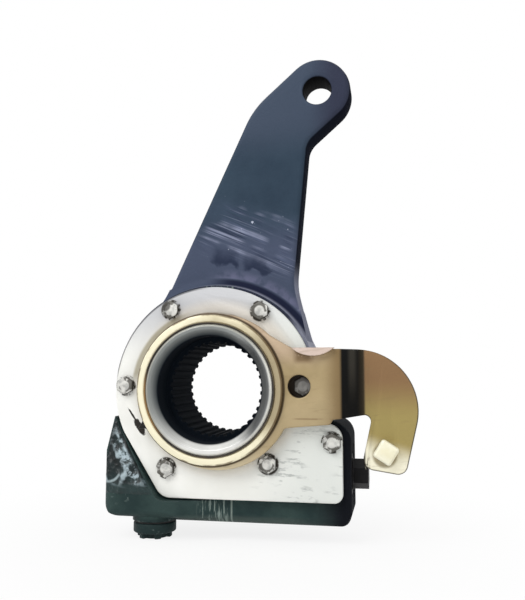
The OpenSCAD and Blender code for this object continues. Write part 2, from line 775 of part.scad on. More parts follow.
// Pinion outline with straight flanked teeth, one tooth facing the rack
module pinion_outline() {
    step = 360 / pinion_teeth;
    half = rack_pitch / 4 - rack_play / 2;
    tip_r = pinion_pitch_r + rack_module * 0.9;
    root_r = pinion_pitch_r - 1.25 * rack_module;
    polygon([for (i = [0:pinion_teeth - 1]) for (c = [[root_r, -1.32], [pinion_pitch_r, -1], [tip_r, -0.42],
        [tip_r, 0.42], [pinion_pitch_r, 1], [root_r, 1.32]])
        let (a = 180 + i * step + c[1] * half / c[0] * 180 / PI) c[0] * [cos(a), sin(a)]]);
}

module clutch_pinion() color([0.5, 0.5, 0.52]) difference() {
    union() {
        translate([0, worm_y, worm_z]) along_x(pinion_back, pinion_front) pinion_outline();
        rod_x(pinion_front - 1, ring_back - ring_hub_len - 0.3, pinion_hub_r);
    }
    rod_x(pinion_back - 1, 0, tail_r + running);
}

module wrap_spring() color([0.45, 0.46, 0.5]) translate([pinion_front + 0.1, worm_y, worm_z]) rotate([0, 90, 0])
    coil(wrap_len, pinion_hub_r + wrap_wire_r + 0.1, wrap_wire_r, wrap_turns);

module pinion_washer() color([0.6, 0.6, 0.62]) ring_x(washer_x - washer_t, washer_x, tail_r + 0.3, bush_r + 1.5);

// Rack teeth in side view, with a gap facing the pinion's tooth
module rack_teeth() {
    half = rack_pitch / 4 - rack_play / 2;
    tip = half - 0.9 * rack_module * tan(flank_angle);
    root = half + 1.25 * rack_module * tan(flank_angle);
    for (i = [-teeth_below:teeth_above]) translate([rack_pitch_y, worm_z + (i + 0.5) * rack_pitch])
        polygon([[-1.25 * rack_module - 0.2, -root], [0.9 * rack_module, -tip], [0.9 * rack_module, tip],
            [-1.25 * rack_module - 0.2, root]]);
}

module rack() color([0.5, 0.5, 0.52]) union() {
    half_w = tongue_w / 2;
    difference() {
        rod_z(rack_bottom, bar_top, rack_r);
        translate([-rack_x - 10, rack_root_y, rack_bottom - 1]) cube([20, 10, bar_top - rack_bottom + 2]);
    }
    translate([-rack_x - half_w, tongue_front, bar_top - 2])
        cube([tongue_w, rack_root_y - tongue_front, tongue_top - bar_top + 2]);
    along_x(-rack_x - half_w + 0.4, -rack_x + half_w - 0.4) rack_teeth();
    along_y(disc_front, tongue_front + 0.5) translate([-rack_x, -pin_drop]) circle(pin_r);
}

module rack_spring() color([0.5, 0.5, 0.5]) translate([-rack_x, rack_y, spring_floor])
    coil(rack_bottom - spring_floor, rack_spring_r, rack_wire_r, rack_turns, sides = 6, steps = 12);

module rack_plug() color([0.13, 0.16, 0.16]) difference() {
    union() {
        rod_z(plug_flange_z - plug_h, plug_flange_z, plug_r);
        rod_z(plug_flange_z - 1, plug_top, plug_thread_r);
        // castellated grip under the flange
        for (i = [0:grip_teeth - 1]) translate([-rack_x, rack_y, plug_flange_z - plug_h - grip_h])
            rotate(i * 360 / grip_teeth) translate([grip_core_r - 2, -grip_w / 2, 0])
                cube([grip_r - grip_core_r + 2, grip_w, grip_h + 0.4]);
        rod_z(plug_flange_z - plug_h - grip_h, plug_flange_z - plug_h + 1, grip_core_r);
    }
    rod_z(rack_bottom - travel - 0.6, plug_top + 1, rack_r + slide_gap);
    rod_z(spring_floor, plug_top + 1, rack_spring_r + rack_wire_r + slide_gap);
}

module plug_seal() color([0.08, 0.08, 0.08]) ring_z(plug_flange_z, barrel_bottom, plug_thread_r + 0.1, plug_r - 0.6);

// Front view of the control arm: ring, arm and hook
module arm_outline() {
    difference() {
        union() {
            circle(arm_ring_r);
            translate(arm_bulge) circle(arm_bulge_r);
            outline([
                [0.4 * arm_ring_r, -0.8 * arm_ring_r, 0],
                [34, -17, 14],
                [54.6, -15.2, 1.2],
                [56, -13, 1.2],
                [72.9, -10.9, 2.8],
                [67.6, -34.7, 5],
                [86.9, -37.6, 4.5],
                [100.3, arm_top, 27],
                [38.6, arm_top, 13],
                [0.51 * arm_ring_r, 0.87 * arm_ring_r, 0]
            ]);
            // pointer that shows the arm's place against the cover
            rotate(pointer_angle) polygon([[arm_ring_r - 1, -pointer_w / 2], [arm_ring_r + pointer_len, 0],
                [arm_ring_r - 1, pointer_w / 2]]);
        }
        circle(sleeve_r);
        translate([screw_circle * cos(screw_angles[0]) - 1.2, screw_circle * sin(screw_angles[0])]) circle(access_r);
        translate([anchor_x, -anchor_drop]) circle(anchor_r + slide_gap);
    }
}

// Plan view of the arm's bent plate
module arm_plan() {
    set = arm_t * 0.41;
    far = 100;
    outline([
        [-far, arm_front, 0],
        [joggle_x, arm_front, 3],
        [joggle_x + joggle, arm_front + joggle, 3],
        [far, arm_front + joggle, 0],
        [far, arm_back + joggle, 0],
        [joggle_x + joggle - set, arm_back + joggle, 5],
        [joggle_x - set, arm_back, 2],
        [-far, arm_back, 0]
    ]);
}

module control_arm() color([0.78, 0.66, 0.45]) union() {
    intersection() {
        along_y(arm_front, arm_back + joggle) arm_outline();
        along_z(-2 * arm_ring_r, 2 * arm_ring_r) arm_plan();
    }
    // pressed stiffening lip along the upper edge
    along_y(arm_front - lip_h, arm_front + 0.5) intersection() {
        translate([lip_x, arm_top + lip_rise - lip_drop + lip_r]) circle(lip_r);
        translate([lip_x - lip_r, arm_top + lip_rise - lip_drop]) square([2 * lip_r, lip_drop]);
    }
}

module control_sleeve() color([0.85, 0.75, 0.52]) difference() {
    union() {
        ring_y(collar_front, arm_front, 0, collar_r);
        ring_y(collar_front, disc_back, 0, sleeve_r);
    }
    ring_y(collar_front - 1, disc_back + 1, 0, nose_r + running);
    ring_y(collar_front - 1, arm_front - hub_seal_in, 0, nose_r + hub_seal_h);
}

module control_disc() color([0.55, 0.55, 0.57]) along_y(disc_front, disc_back) difference() {
    union() {
        circle(disc_r);
        intersection() {
            circle(fork_r);
            fork_bar(0);
        }
    }
    circle(sleeve_r);
    translate([-2 * fork_r, -pin_drop - jaw]) square([2 * fork_r - rack_x + jaw, 2 * jaw]);
}

module hub_seal() color([0.06, 0.06, 0.06])
    ring_y(collar_front - hub_seal_out, arm_front - hub_seal_in, nose_r + lip_gap, nose_r + hub_seal_h);

module anchor_bolt() color([0.93, 0.9, 0.76]) translate([anchor_x, 0, -anchor_drop]) {
    face = arm_front + joggle;
    half = anchor_head / 2;
    nut_back = arm_back + joggle + nut_t;
    along_y(face - anchor_head_h, face) rotate(head_turn)
        outline([for (c = [[-1, -1], [1, -1], [1, 1], [-1, 1]]) [c.x * half, c.y * half, head_corner]]);
    along_y(face, nut_back) circle(anchor_r);
    along_y(nut_back, nut_back + stud_len) circle(stud_r);
}

module anchor_nut() color([0.8, 0.72, 0.5]) translate([anchor_x, 0, -anchor_drop])
    along_y(arm_back + joggle, arm_back + joggle + nut_t) difference() {
        circle(nut_af / sqrt(3), $fn = 6);
        circle(anchor_r);
    }

housing();
lever();
lever_bush();
front_cover();
cover_gasket();
cover_screws();
cover_seal();
rear_seal();
worm_wheel();
worm_shaft();
spring_seat();
thrust_spring();
inner_race();
outer_race();
thrust_balls();
ball_cage();
worm_end_cap();
worm_shaft_seal();
worm_bush();
clutch_end_cap();
clutch_ring();
clutch_pinion();
wrap_spring();
pinion_washer();
rack();
rack_spring();
rack_plug();
plug_seal();
control_arm();
control_sleeve();
control_disc();
hub_seal();
anchor_bolt();
anchor_nut();
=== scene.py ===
import math

import bmesh
import bpy
import numpy as np
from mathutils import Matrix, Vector


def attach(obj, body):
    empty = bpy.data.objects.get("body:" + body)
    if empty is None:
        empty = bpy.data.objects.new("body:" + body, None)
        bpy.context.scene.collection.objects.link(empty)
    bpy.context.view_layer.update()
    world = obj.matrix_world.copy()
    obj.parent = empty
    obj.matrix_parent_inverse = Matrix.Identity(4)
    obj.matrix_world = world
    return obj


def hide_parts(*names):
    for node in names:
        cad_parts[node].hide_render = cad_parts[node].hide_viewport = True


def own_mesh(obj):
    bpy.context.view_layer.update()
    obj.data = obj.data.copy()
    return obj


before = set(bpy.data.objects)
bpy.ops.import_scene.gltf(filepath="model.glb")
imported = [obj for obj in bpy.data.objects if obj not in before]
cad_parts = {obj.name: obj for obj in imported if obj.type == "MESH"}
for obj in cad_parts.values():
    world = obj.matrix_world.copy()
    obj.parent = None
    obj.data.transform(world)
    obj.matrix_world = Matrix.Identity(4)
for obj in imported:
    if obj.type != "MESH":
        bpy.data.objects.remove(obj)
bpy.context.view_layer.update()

# Housing
# The drum, the worm barrel and the rack boss are one iron casting under dark green black paint.
# The paint is paler on the lower edges and scratched on the rear face.


def tone(red, green, blue):
    """A display colour from 0 to 255, as the linear colour that a shader takes: c to the power 2.2."""
    return tuple((channel / 255) ** 2.2 for channel in (red, green, blue)) + (1.0,)


def feed(tree, node, inputs):
    """Links each named input of a node to a socket, or sets it to a value."""
    for key, value in inputs.items():
        if isinstance(value, bpy.types.NodeSocket):
            tree.links.new(value, node.inputs[key])
        else:
            node.inputs[key].default_value = value


def place(tree, kind, inputs, **settings):
    """A new node with its settings made and its inputs fed."""
    made = tree.nodes.new(kind)
    for key, value in settings.items():
        setattr(made, key, value)
    feed(tree, made, inputs)
    return made


def fade(tree, value, start, end):
    """A mask that rises smoothly from 0 at start to 1 at end; on an axis, these are places in metres."""
    made = place(tree, "ShaderNodeMapRange", {"Value": value, "From Min": start, "From Max": end},
                 interpolation_type="SMOOTHSTEP")
    return made.outputs["Result"]


def spread(tree, mask, low, high):
    """A value that goes evenly from low to high as the mask goes from 0 to 1."""
    made = place(tree, "ShaderNodeMapRange", {"Value": mask, "To Min": low, "To Max": high})
    return made.outputs["Result"]


def sum_up(tree, kind, first, second):
    """One arithmetic step on two masks or values."""
    return place(tree, "ShaderNodeMath", {0: first, 1: second}, operation=kind).outputs[0]


def meet_masks(tree, *masks):
    """The product of several masks: it is 1 only where all of them are."""
    product = masks[0]
    for mask in masks[1:]:
        product = sum_up(tree, "MULTIPLY", product, mask)
    return product


def coat(tree, mask, under, over, share=1.0):
    """The colour over, laid on the colour under where the mask is 1, there to a share of its strength."""
    if share < 1:
        mask = sum_up(tree, "MULTIPLY", mask, share)
    made = place(tree, "ShaderNodeMix", {"Factor": mask, 6: under, 7: over}, data_type="RGBA")
    return made.outputs[2]


def new_group(name, inputs, outputs):
    """A shader node group with float or vector inputs and outputs, with its two end nodes."""
    tree = bpy.data.node_groups.new(name, "ShaderNodeTree")
    for label, kind in inputs.items():
        tree.interface.new_socket(label, in_out="INPUT", socket_type="NodeSocket" + kind)
    for label, kind in outputs.items():
        tree.interface.new_socket(label, in_out="OUTPUT", socket_type="NodeSocket" + kind)
    return tree, tree.nodes.new("NodeGroupInput").outputs, tree.nodes.new("NodeGroupOutput").inputs


def noise_of(tree, vector, scale, detail=3.0, roughness=0.55):
    """Smooth noise from 0 to 1 at so many cells a metre."""
    made = place(tree, "ShaderNodeTexNoise",
                 {"Vector": vector, "Scale": scale, "Detail": detail, "Roughness": roughness})
    return made.outputs["Fac"]


# Grain is the fine unevenness of a cast, painted or plated skin: a height, and slow patches of tone.
grain, come, go = new_group("grain", {"Position": "Vector", "Fine": "Float", "Patch": "Float"},
                            {"Height": "Float", "Patches": "Float"})
grain.links.new(noise_of(grain, come["Position"], come["Fine"], 4.0), go["Height"])
grain.links.new(fade(grain, noise_of(grain, come["Position"], come["Patch"]), 0.32, 0.68), go["Patches"])

# Scuffs are thin streaks along one direction, broken into strokes.
scuffs, come, go = new_group("scuffs", {"Position": "Vector", "Turn": "Vector", "Along": "Float",
                                        "Across": "Float", "Break": "Float"}, {"Mask": "Float"})
turned = place(scuffs, "ShaderNodeMapping", {"Vector": come["Position"], "Rotation": come["Turn"]})
stretch = place(scuffs, "ShaderNodeCombineXYZ",
                {"X": come["Along"], "Y": come["Along"], "Z": come["Across"]})
drawn = place(scuffs, "ShaderNodeVectorMath", {0: turned.outputs[0], 1: stretch.outputs[0]},
              operation="MULTIPLY")
streak = fade(scuffs, noise_of(scuffs, drawn.outputs[0], 1.0, roughness=0.6), 0.52, 0.66)
stroke = fade(scuffs, noise_of(scuffs, come["Position"], come["Break"], 2.0), 0.42, 0.62)
scuffs.links.new(meet_masks(scuffs, streak, stroke), go["Mask"])

# Edge wear is where the surface turns sharply: the rounded normal leaves the true one there.
edge_wear, come, go = new_group("edge_wear", {"Width": "Float", "Position": "Vector"}, {"Mask": "Float"})
soft = place(edge_wear, "ShaderNodeBevel", {"Radius": come["Width"]}, samples=6)
true = place(edge_wear, "ShaderNodeNewGeometry", {})
agree = place(edge_wear, "ShaderNodeVectorMath", {0: soft.outputs[0], 1: true.outputs["Normal"]},
              operation="DOT_PRODUCT")
turning = fade(edge_wear, agree.outputs["Value"], 0.985, 0.86)
chipped = fade(edge_wear, noise_of(edge_wear, come["Position"], 260.0, 4.0, 0.7), 0.4, 0.62)
edge_wear.links.new(meet_masks(edge_wear, turning, chipped), go["Mask"])


def skin_of(tree, position, fine, patch):
    """Grain with so many fine bumps and slow patches a metre."""
    made = place(tree, "ShaderNodeGroup", {"Position": position, "Fine": fine, "Patch": patch},
                 node_tree=grain)
    return made.outputs


def streaks_of(tree, position, lean, along, across, breaks):
    """Scuffs turned some degrees about Y, at so many cells a metre along, across and between breaks."""
    made = place(tree, "ShaderNodeGroup",
                 {"Position": position, "Turn": (0.0, math.radians(lean), 0.0), "Along": along,
                  "Across": across, "Break": breaks}, node_tree=scuffs)
    return made.outputs["Mask"]


def worn_edges(tree, position, width):
    """Edge wear to a width in metres."""
    made = place(tree, "ShaderNodeGroup", {"Width": width, "Position": position}, node_tree=edge_wear)
    return made.outputs["Mask"]


def new_finish(name):
    """A material with its tree, its shader, its place on the piece and that place split into X, Y and Z."""
    made = bpy.data.materials.new(name)
    made.use_nodes = True
    tree = made.node_tree
    shader = tree.nodes["Principled BSDF"]
    position = place(tree, "ShaderNodeTexCoord", {}).outputs["Object"]
    axes = place(tree, "ShaderNodeSeparateXYZ", {"Vector": position}).outputs
    return made, tree, shader, position, axes


def raise_skin(tree, shader, height, depth, soft=0.0):
    """Sets the normal from a height of so many metres, on edges that look rounded to a soft radius."""
    bump = place(tree, "ShaderNodeBump", {"Height": height, "Distance": depth})
    if soft > 0:
        worn_round = place(tree, "ShaderNodeBevel", {"Radius": soft}, samples=8)
        feed(tree, bump, {"Normal": worn_round.outputs["Normal"]})
    feed(tree, shader, {"Normal": bump.outputs["Normal"]})


cast_paint, tree, shader, position, axes = new_finish("cast_paint")
skin = skin_of(tree, position, fine=700.0, patch=60.0)
paint = coat(tree, skin["Patches"], tone(38, 53, 53), tone(54, 70, 68))
# the right end is nearly black, and the drum turns to the lever's slate
dark_end = fade(tree, axes["X"], 0.042, 0.06)
paint = coat(tree, dark_end, paint, tone(26, 28, 33))
paint = coat(tree, fade(tree, axes["Z"], -0.012, 0.012), paint, tone(42, 47, 64))
flank = meet_masks(tree, fade(tree, axes["X"], 0.034, 0.042), fade(tree, axes["Z"], 0.0, 0.012))
paint = coat(tree, flank, paint, tone(142, 145, 163))
# the lower edge is paler
pale_edge_and_lip_shadow = meet_masks(tree, fade(tree, axes["Z"], -0.0565, -0.0592), fade(tree, axes["X"], 0.05, 0.03),
                    fade(tree, axes["X"], -0.02, -0.015))
paint = coat(tree, pale_edge_and_lip_shadow, paint, tone(82, 92, 88), share=0.6)
# the rack plug below is darker still, and a few pale flecks lie on it and on the boss over it
below = meet_masks(tree, fade(tree, axes["Z"], -0.0586, -0.0606), fade(tree, axes["X"], -0.014, -0.018))
paint = coat(tree, below, paint, tone(36, 49, 49), share=0.85)
flank_low = meet_masks(tree, fade(tree, axes["Z"], -0.046, -0.048), fade(tree, axes["Z"], -0.0535, -0.051),
                       fade(tree, axes["X"], -0.034, -0.038))
flecks = meet_masks(tree, sum_up(tree, "MAXIMUM", below, flank_low),
                    fade(tree, noise_of(tree, position, 340.0), 0.6, 0.7))
paint = coat(tree, flecks, paint, tone(126, 140, 136), share=0.5)
# pale runs and one thin line come down the strip under the cover
front = fade(tree, axes["Y"], 0.004, 0.002)
run_cells, fall_cells = 900.0, 130.0
columns = place(tree, "ShaderNodeCombineXYZ", {"X": sum_up(tree, "MULTIPLY", axes["X"], run_cells),
                                               "Z": sum_up(tree, "MULTIPLY", axes["Z"], fall_cells)})
runs = meet_masks(tree, front, fade(tree, axes["X"], -0.008, -0.005), fade(tree, axes["X"], 0.008, 0.005),
                  fade(tree, noise_of(tree, columns.outputs[0], 1.0), 0.5, 0.66))
paint = coat(tree, runs, paint, tone(140, 154, 148), share=0.78)
line = meet_masks(tree, front, fade(tree, axes["X"], 0.0079, 0.0082), fade(tree, axes["X"], 0.009, 0.0087))
paint = coat(tree, line, paint, tone(134, 146, 140), share=0.7)
# handling has scratched the rear face in two directions
rear = fade(tree, axes["Y"], 0.022, 0.027)
for lean, thin, share in ((31, 340.0, 0.24), (-12, 620.0, 0.14)):
    scratched = streaks_of(tree, position, lean, along=16.0, across=thin, breaks=55.0)
    paint = coat(tree, meet_masks(tree, rear, scratched), paint, tone(98, 108, 110), share)
paint = coat(tree, worn_edges(tree, position, width=0.0014), paint, tone(86, 96, 97), share=0.4)
rough = spread(tree, skin["Patches"], 0.46, 0.6)
feed(tree, shader, {"Base Color": paint, "Roughness": sum_up(tree, "MAXIMUM", rough, dark_end),
                    "Specular IOR Level": 0.12})
raise_skin(tree, shader, skin["Height"], depth=0.0003, soft=0.0012)


def dress(node, finish):
    """A CAD piece whose shape is right keeps its mesh and gets the finish."""
    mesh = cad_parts[node].data
    mesh.materials.clear()
    mesh.materials.append(finish)


dress("housing", cast_paint)

# Hood paint
# The paint has run thick over the hood above the rack and dried in folds. It is a skin of its own on
# the casting: glossy, dark green in the valleys, and painted pale on the crests as highlights.


def show(name, data):
    """A new object at the origin, linked to the scene."""
    made = bpy.data.objects.new(name, data)
    bpy.context.scene.collection.objects.link(made)
    return made


def closed_sheet(name, face, back):
    """A thin closed shell between two grids of points, face and back, joined round their rims."""
    rows, columns = face.shape[:2]
    count = rows * columns
    index = np.arange(count).reshape(rows, columns)
    quads = np.stack([index[:-1, :-1], index[1:, :-1], index[1:, 1:], index[:-1, 1:]], -1).reshape(-1, 4)
    rim = np.concatenate([index[0, :-1], index[:-1, -1], index[-1, :0:-1], index[:0:-1, 0]])
    ahead = np.roll(rim, -1)
    wall = np.stack([rim, ahead, ahead + count, rim + count], -1)
    faces = np.concatenate([quads, quads[:, ::-1] + count, wall])
    points = np.concatenate([face.reshape(-1, 3), back.reshape(-1, 3)])
    mesh = bpy.data.meshes.new(name)
    mesh.from_pydata(points.tolist(), [], faces.tolist())
    mesh.polygons.foreach_set("use_smooth", np.ones(len(faces), bool))
    return show(name, mesh)


def hood_face(x, z):
    """Depth of the hood's front: the further back of a round left corner and a slope that leans back."""
    corner_x, corner_y, corner_radius = -0.046, -0.001, 0.006
    slope_depth, slope_top, slope_height = 0.007, -0.008, 0.0355
    beyond = np.clip(corner_x - x, 0, None)
    corner = corner_y - np.sqrt(np.clip(corner_radius ** 2 - beyond ** 2, 0, None))
    slope = np.maximum(-slope_depth, slope_depth * (z - slope_top) / slope_height)
    return np.maximum(corner, slope)


def paint_folds(x, z):
    """Crumpled paint from 0 to 1: ridges where sines in five directions cross zero, bent by slow sines."""
    waves = ((0.35, 250, 0.34), (2.3, 360, 0.28), (1.2, 560, 0.2), (2.8, 900, 0.11), (0.8, 1500, 0.07))
    sway, sway_pitch, shift = 1.6, 0.45, 5
    height = 0
    for turn, pitch, share in waves:
        along = x * math.cos(turn) + z * math.sin(turn)
        across = z * math.cos(turn) - x * math.sin(turn)
        bent = pitch * along + sway * np.sin(sway_pitch * pitch * across + turn) + shift * turn
        height = height + share * (1 - np.abs(np.sin(bent)))
    return height


# the sheet reaches from the hood's left side, which leans in above the boss, to the cover's slanted edge
hood_top, hood_height = -0.0145, 0.0345
boss_left = -0.052
lean_x, lean_z, lean_rate = -0.0486, -0.0131, 0.1627
cover_edge_x, cover_edge_z, cover_edge_reach = 0.8443, 0.5358, 0.0481
left_inset, right_inset = 0.0005, 0.0003
hood_columns, hood_rows = 96, 120
across, down = np.meshgrid(np.linspace(0, 1, hood_columns), np.linspace(0, 1, hood_rows))
hood_z = hood_top - hood_height * down
hood_left = np.maximum(boss_left, lean_x + lean_rate * (hood_z - lean_z)) + left_inset
hood_right = -(cover_edge_reach + cover_edge_z * hood_z) / cover_edge_x - right_inset
hood_x = hood_left + (hood_right - hood_left) * across
# it rises from just under the casting's skin at its border
border_share = 0.07
sunk, paint_base, fold_height, paint_back = 0.0003, 0.0004, 0.0019, 0.0012
border = np.minimum(np.minimum(across, 1 - across), np.minimum(down, 1 - down))
border = np.clip(border / border_share, 0, 1)
border = border * border * (3 - 2 * border)
fold = paint_folds(hood_x, hood_z)
hood_y = hood_face(hood_x, hood_z)
lifted = hood_y + sunk - border * (paint_base + fold_height * fold)
hood = closed_sheet("hood_paint", np.stack([hood_x, lifted, hood_z], -1),
                    np.stack([hood_x, hood_y + paint_back, hood_z], -1))
crest = hood.data.attributes.new("crest", "FLOAT", "POINT")
crest.data.foreach_set("value", np.concatenate([(fold * border).ravel(), np.zeros(fold.size)]))


def round_about(tree, axes, centre):
    """Distance from a line along Y through a centre given as X and Z."""
    flat = place(tree, "ShaderNodeCombineXYZ", {"X": axes["X"], "Y": axes["Z"]}).outputs[0]
    gap = place(tree, "ShaderNodeVectorMath", {0: flat, 1: (*centre, 0.0)}, operation="DISTANCE")
    return gap.outputs["Value"]


def ring_mask(tree, axes, centre, inner, outer, soft):
    """A round band about a line along Y: 1 between two radii, fading over a soft width."""
    radius = round_about(tree, axes, centre)
    return meet_masks(tree, fade(tree, radius, inner - soft, inner),
                      fade(tree, radius, outer + soft, outer))


hood_gloss, tree, shader, position, axes = new_finish("hood_gloss")
skin = skin_of(tree, position, fine=900.0, patch=160.0)
rise = place(tree, "ShaderNodeAttribute", {}, attribute_name="crest").outputs["Fac"]
paint = coat(tree, skin["Patches"], tone(8, 18, 19), tone(24, 42, 43))
# the crests are painted pale as highlights
paint = coat(tree, fade(tree, rise, 0.44, 0.7), paint, tone(158, 174, 180))
# broad pale patches are painted along the slanted edge as highlights, the outer side is dark, and a pale
# arc is painted at the foot as a highlight
edge_lean, edge_start = 0.6346, 0.0573
reach = sum_up(tree, "MULTIPLY", axes["Z"], -edge_lean)
reach = sum_up(tree, "SUBTRACT", sum_up(tree, "SUBTRACT", reach, edge_start), axes["X"])
patches = fade(tree, noise_of(tree, position, 330.0, 5.0, 0.7), 0.46, 0.6)
painted_highlight_slant = meet_masks(tree, patches, fade(tree, reach, 0.001, 0.0026), fade(tree, reach, 0.009, 0.0055))
paint = coat(tree, painted_highlight_slant, paint, tone(180, 197, 204), share=0.9)
outer = meet_masks(tree, fade(tree, axes["X"], -0.0458, -0.0488), fade(tree, axes["Z"], -0.041, -0.037))
paint = coat(tree, outer, paint, tone(15, 26, 27), share=0.75)
highlight_arc = meet_masks(tree, ring_mask(tree, axes, (-0.049, -0.0368), 0.0058, 0.0061, soft=0.0008),
                 fade(tree, axes["Z"], -0.0382, -0.0405))
paint = coat(tree, highlight_arc, paint, tone(170, 186, 190), share=0.75)
paint = coat(tree, fade(tree, axes["Z"], -0.0422, -0.0448), paint, tone(37, 54, 54))
# the foot is drawn into folds that fall to the right, with pale streaks painted on them as highlights
drawn_out = streaks_of(tree, position, -14, along=45.0, across=420.0, breaks=110.0)
foot = meet_masks(tree, drawn_out, fade(tree, axes["Z"], -0.04, -0.042),
                  fade(tree, axes["Z"], -0.0475, -0.045), fade(tree, axes["X"], -0.049, -0.046))
paint = coat(tree, foot, paint, tone(128, 144, 150), share=0.6)
feed(tree, shader, {"Base Color": paint, "Roughness": spread(tree, rise, 0.4, 0.24),
                    "Specular IOR Level": 0.3})
raise_skin(tree, shader, skin["Height"], depth=0.0002)
hood.data.materials.append(hood_gloss)
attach(hood, "housing")

# Lever
# The lever is forged with the housing and ends in the eye for the clevis pin. Its slate paint is
# scuffed above the drum, where two rubbed patches show darker iron.
hub_axis = (0.0, 0.0)
eye_axis = (0.04848, 0.14448)
seam_radius = 0.0105
lever_paint, tree, shader, position, axes = new_finish("lever_paint")
skin = skin_of(tree, position, fine=620.0, patch=34.0)
paint = coat(tree, skin["Patches"], tone(51, 64, 78), tone(58, 72, 86))
paint = coat(tree, fade(tree, axes["Z"], 0.108, 0.132), paint, tone(69, 79, 95))
paint = coat(tree, fade(tree, axes["X"], 0.042, 0.058), paint, tone(57, 61, 77))
paint = coat(tree, fade(tree, axes["Z"], 0.085, 0.066), paint, tone(74, 82, 101))


def slanted_height(tree, axes, fall):
    """A height whose level lines fall to the right: Z plus a share of X."""
    return sum_up(tree, "ADD", axes["Z"], sum_up(tree, "MULTIPLY", axes["X"], fall))


# a band of streaks that fall to the right, pale violet with a few bright spots, and darker ones between
front = fade(tree, axes["Y"], 0.012, 0.009)
sloped = slanted_height(tree, axes, fall=0.3)
zone = meet_masks(tree, front, fade(tree, sloped, 0.058, 0.072), fade(tree, sloped, 0.096, 0.088),
                  fade(tree, axes["X"], -0.013, -0.003))
paint = coat(tree, zone, paint, tone(92, 100, 126), share=0.1)
moved = place(tree, "ShaderNodeMapping",
              {"Vector": position, "Location": (-0.0074, 0.0, -0.0033)}).outputs[0]
for lean, along, thin, share, colour in ((27, 11.0, 210.0, 0.55, (102, 110, 138)),
                                         (29, 15.0, 360.0, 0.85, (36, 43, 60)),
                                         (25, 11.0, 460.0, 0.65, (136, 142, 167)),
                                         (30, 13.0, 300.0, 0.8, (46, 54, 74)),
                                         (23, 12.0, 620.0, 0.8, (146, 152, 176))):
    streaks = streaks_of(tree, moved, -lean, along, across=thin, breaks=48.0)
    paint = coat(tree, meet_masks(tree, zone, streaks), paint, tone(*colour), share)
spots = meet_masks(tree, zone, fade(tree, noise_of(tree, position, 380.0, 2.0), 0.72, 0.76))
paint = coat(tree, spots, paint, tone(176, 182, 200))
# two rubbed patches below the streaks are darker, with ragged sides
ragged_depth = 0.012
ragged = sum_up(tree, "SUBTRACT", noise_of(tree, position, 110.0), 0.5)
ragged = sum_up(tree, "MULTIPLY", ragged, ragged_depth)
side = sum_up(tree, "ADD", axes["X"], ragged)
level = sum_up(tree, "ADD", slanted_height(tree, axes, fall=0.2), ragged)
for left, right, low, high in ((-0.005, 0.0105, 0.0582, 0.0715), (0.0112, 0.0262, 0.0578, 0.0705)):
    patch = meet_masks(tree, front, fade(tree, side, left, left + 0.0034),
                       fade(tree, side, right, right - 0.0026),
                       fade(tree, level, low, low + 0.0022), fade(tree, level, high, low + 0.002))
    paint = coat(tree, patch, paint, tone(41, 48, 67), share=0.85)
# the hollow at the root is painted dark as shadow, under a crest painted pale as a highlight
turn_radius = round_about(tree, axes, hub_axis)
rightward = fade(tree, axes["X"], -0.008, 0.008)
hollow = meet_masks(tree, front, rightward, fade(tree, turn_radius, 0.0535, 0.0518))
paint = coat(tree, hollow, paint, tone(35, 39, 58))
painted_highlight_crest = meet_masks(tree, front, rightward, fade(tree, turn_radius, 0.0528, 0.0536),
                        fade(tree, turn_radius, 0.0586, 0.054),
                        fade(tree, noise_of(tree, position, 150.0), 0.28, 0.55))
paint = coat(tree, painted_highlight_crest, paint, tone(110, 112, 138), share=0.75)
# handling has scratched the rear face in two directions
rear = fade(tree, axes["Y"], 0.018, 0.021)
for lean, thin, share in ((64, 360.0, 0.24), (82, 620.0, 0.16)):
    scratched = streaks_of(tree, position, lean, along=14.0, across=thin, breaks=42.0)
    paint = coat(tree, meet_masks(tree, rear, scratched), paint, tone(104, 112, 132), share)
# rounded edges are painted darker, except at the seam of the bush
away = fade(tree, round_about(tree, axes, eye_axis), seam_radius, seam_radius + 0.001)
darker_edges = meet_masks(tree, away, worn_edges(tree, position, width=0.002))
paint = coat(tree, darker_edges, paint, tone(38, 42, 54), share=0.6)


def normal_of(tree):
    """The direction that the surface faces, split into X, Y and Z."""
    facing = place(tree, "ShaderNodeNewGeometry", {}).outputs["Normal"]
    return place(tree, "ShaderNodeSeparateXYZ", {"Vector": facing}).outputs


# the sides of the forging are painted nearly black as shade, and greyer at the root
facing = normal_of(tree)
sides = fade(tree, meet_masks(tree, facing["Y"], facing["Y"]), 0.5, 0.12)
flanks = coat(tree, fade(tree, axes["Z"], 0.062, 0.046), tone(19, 21, 30), tone(138, 141, 158))
paint = coat(tree, sides, paint, flanks, share=0.95)
rough = spread(tree, skin["Patches"], 0.44, 0.56)
feed(tree, shader, {"Base Color": paint, "Roughness": sum_up(tree, "MAXIMUM", rough, sides),
                    "Specular IOR Level": 0.04})
raise_skin(tree, shader, sum_up(tree, "ADD", skin["Height"], zone), depth=0.0002)


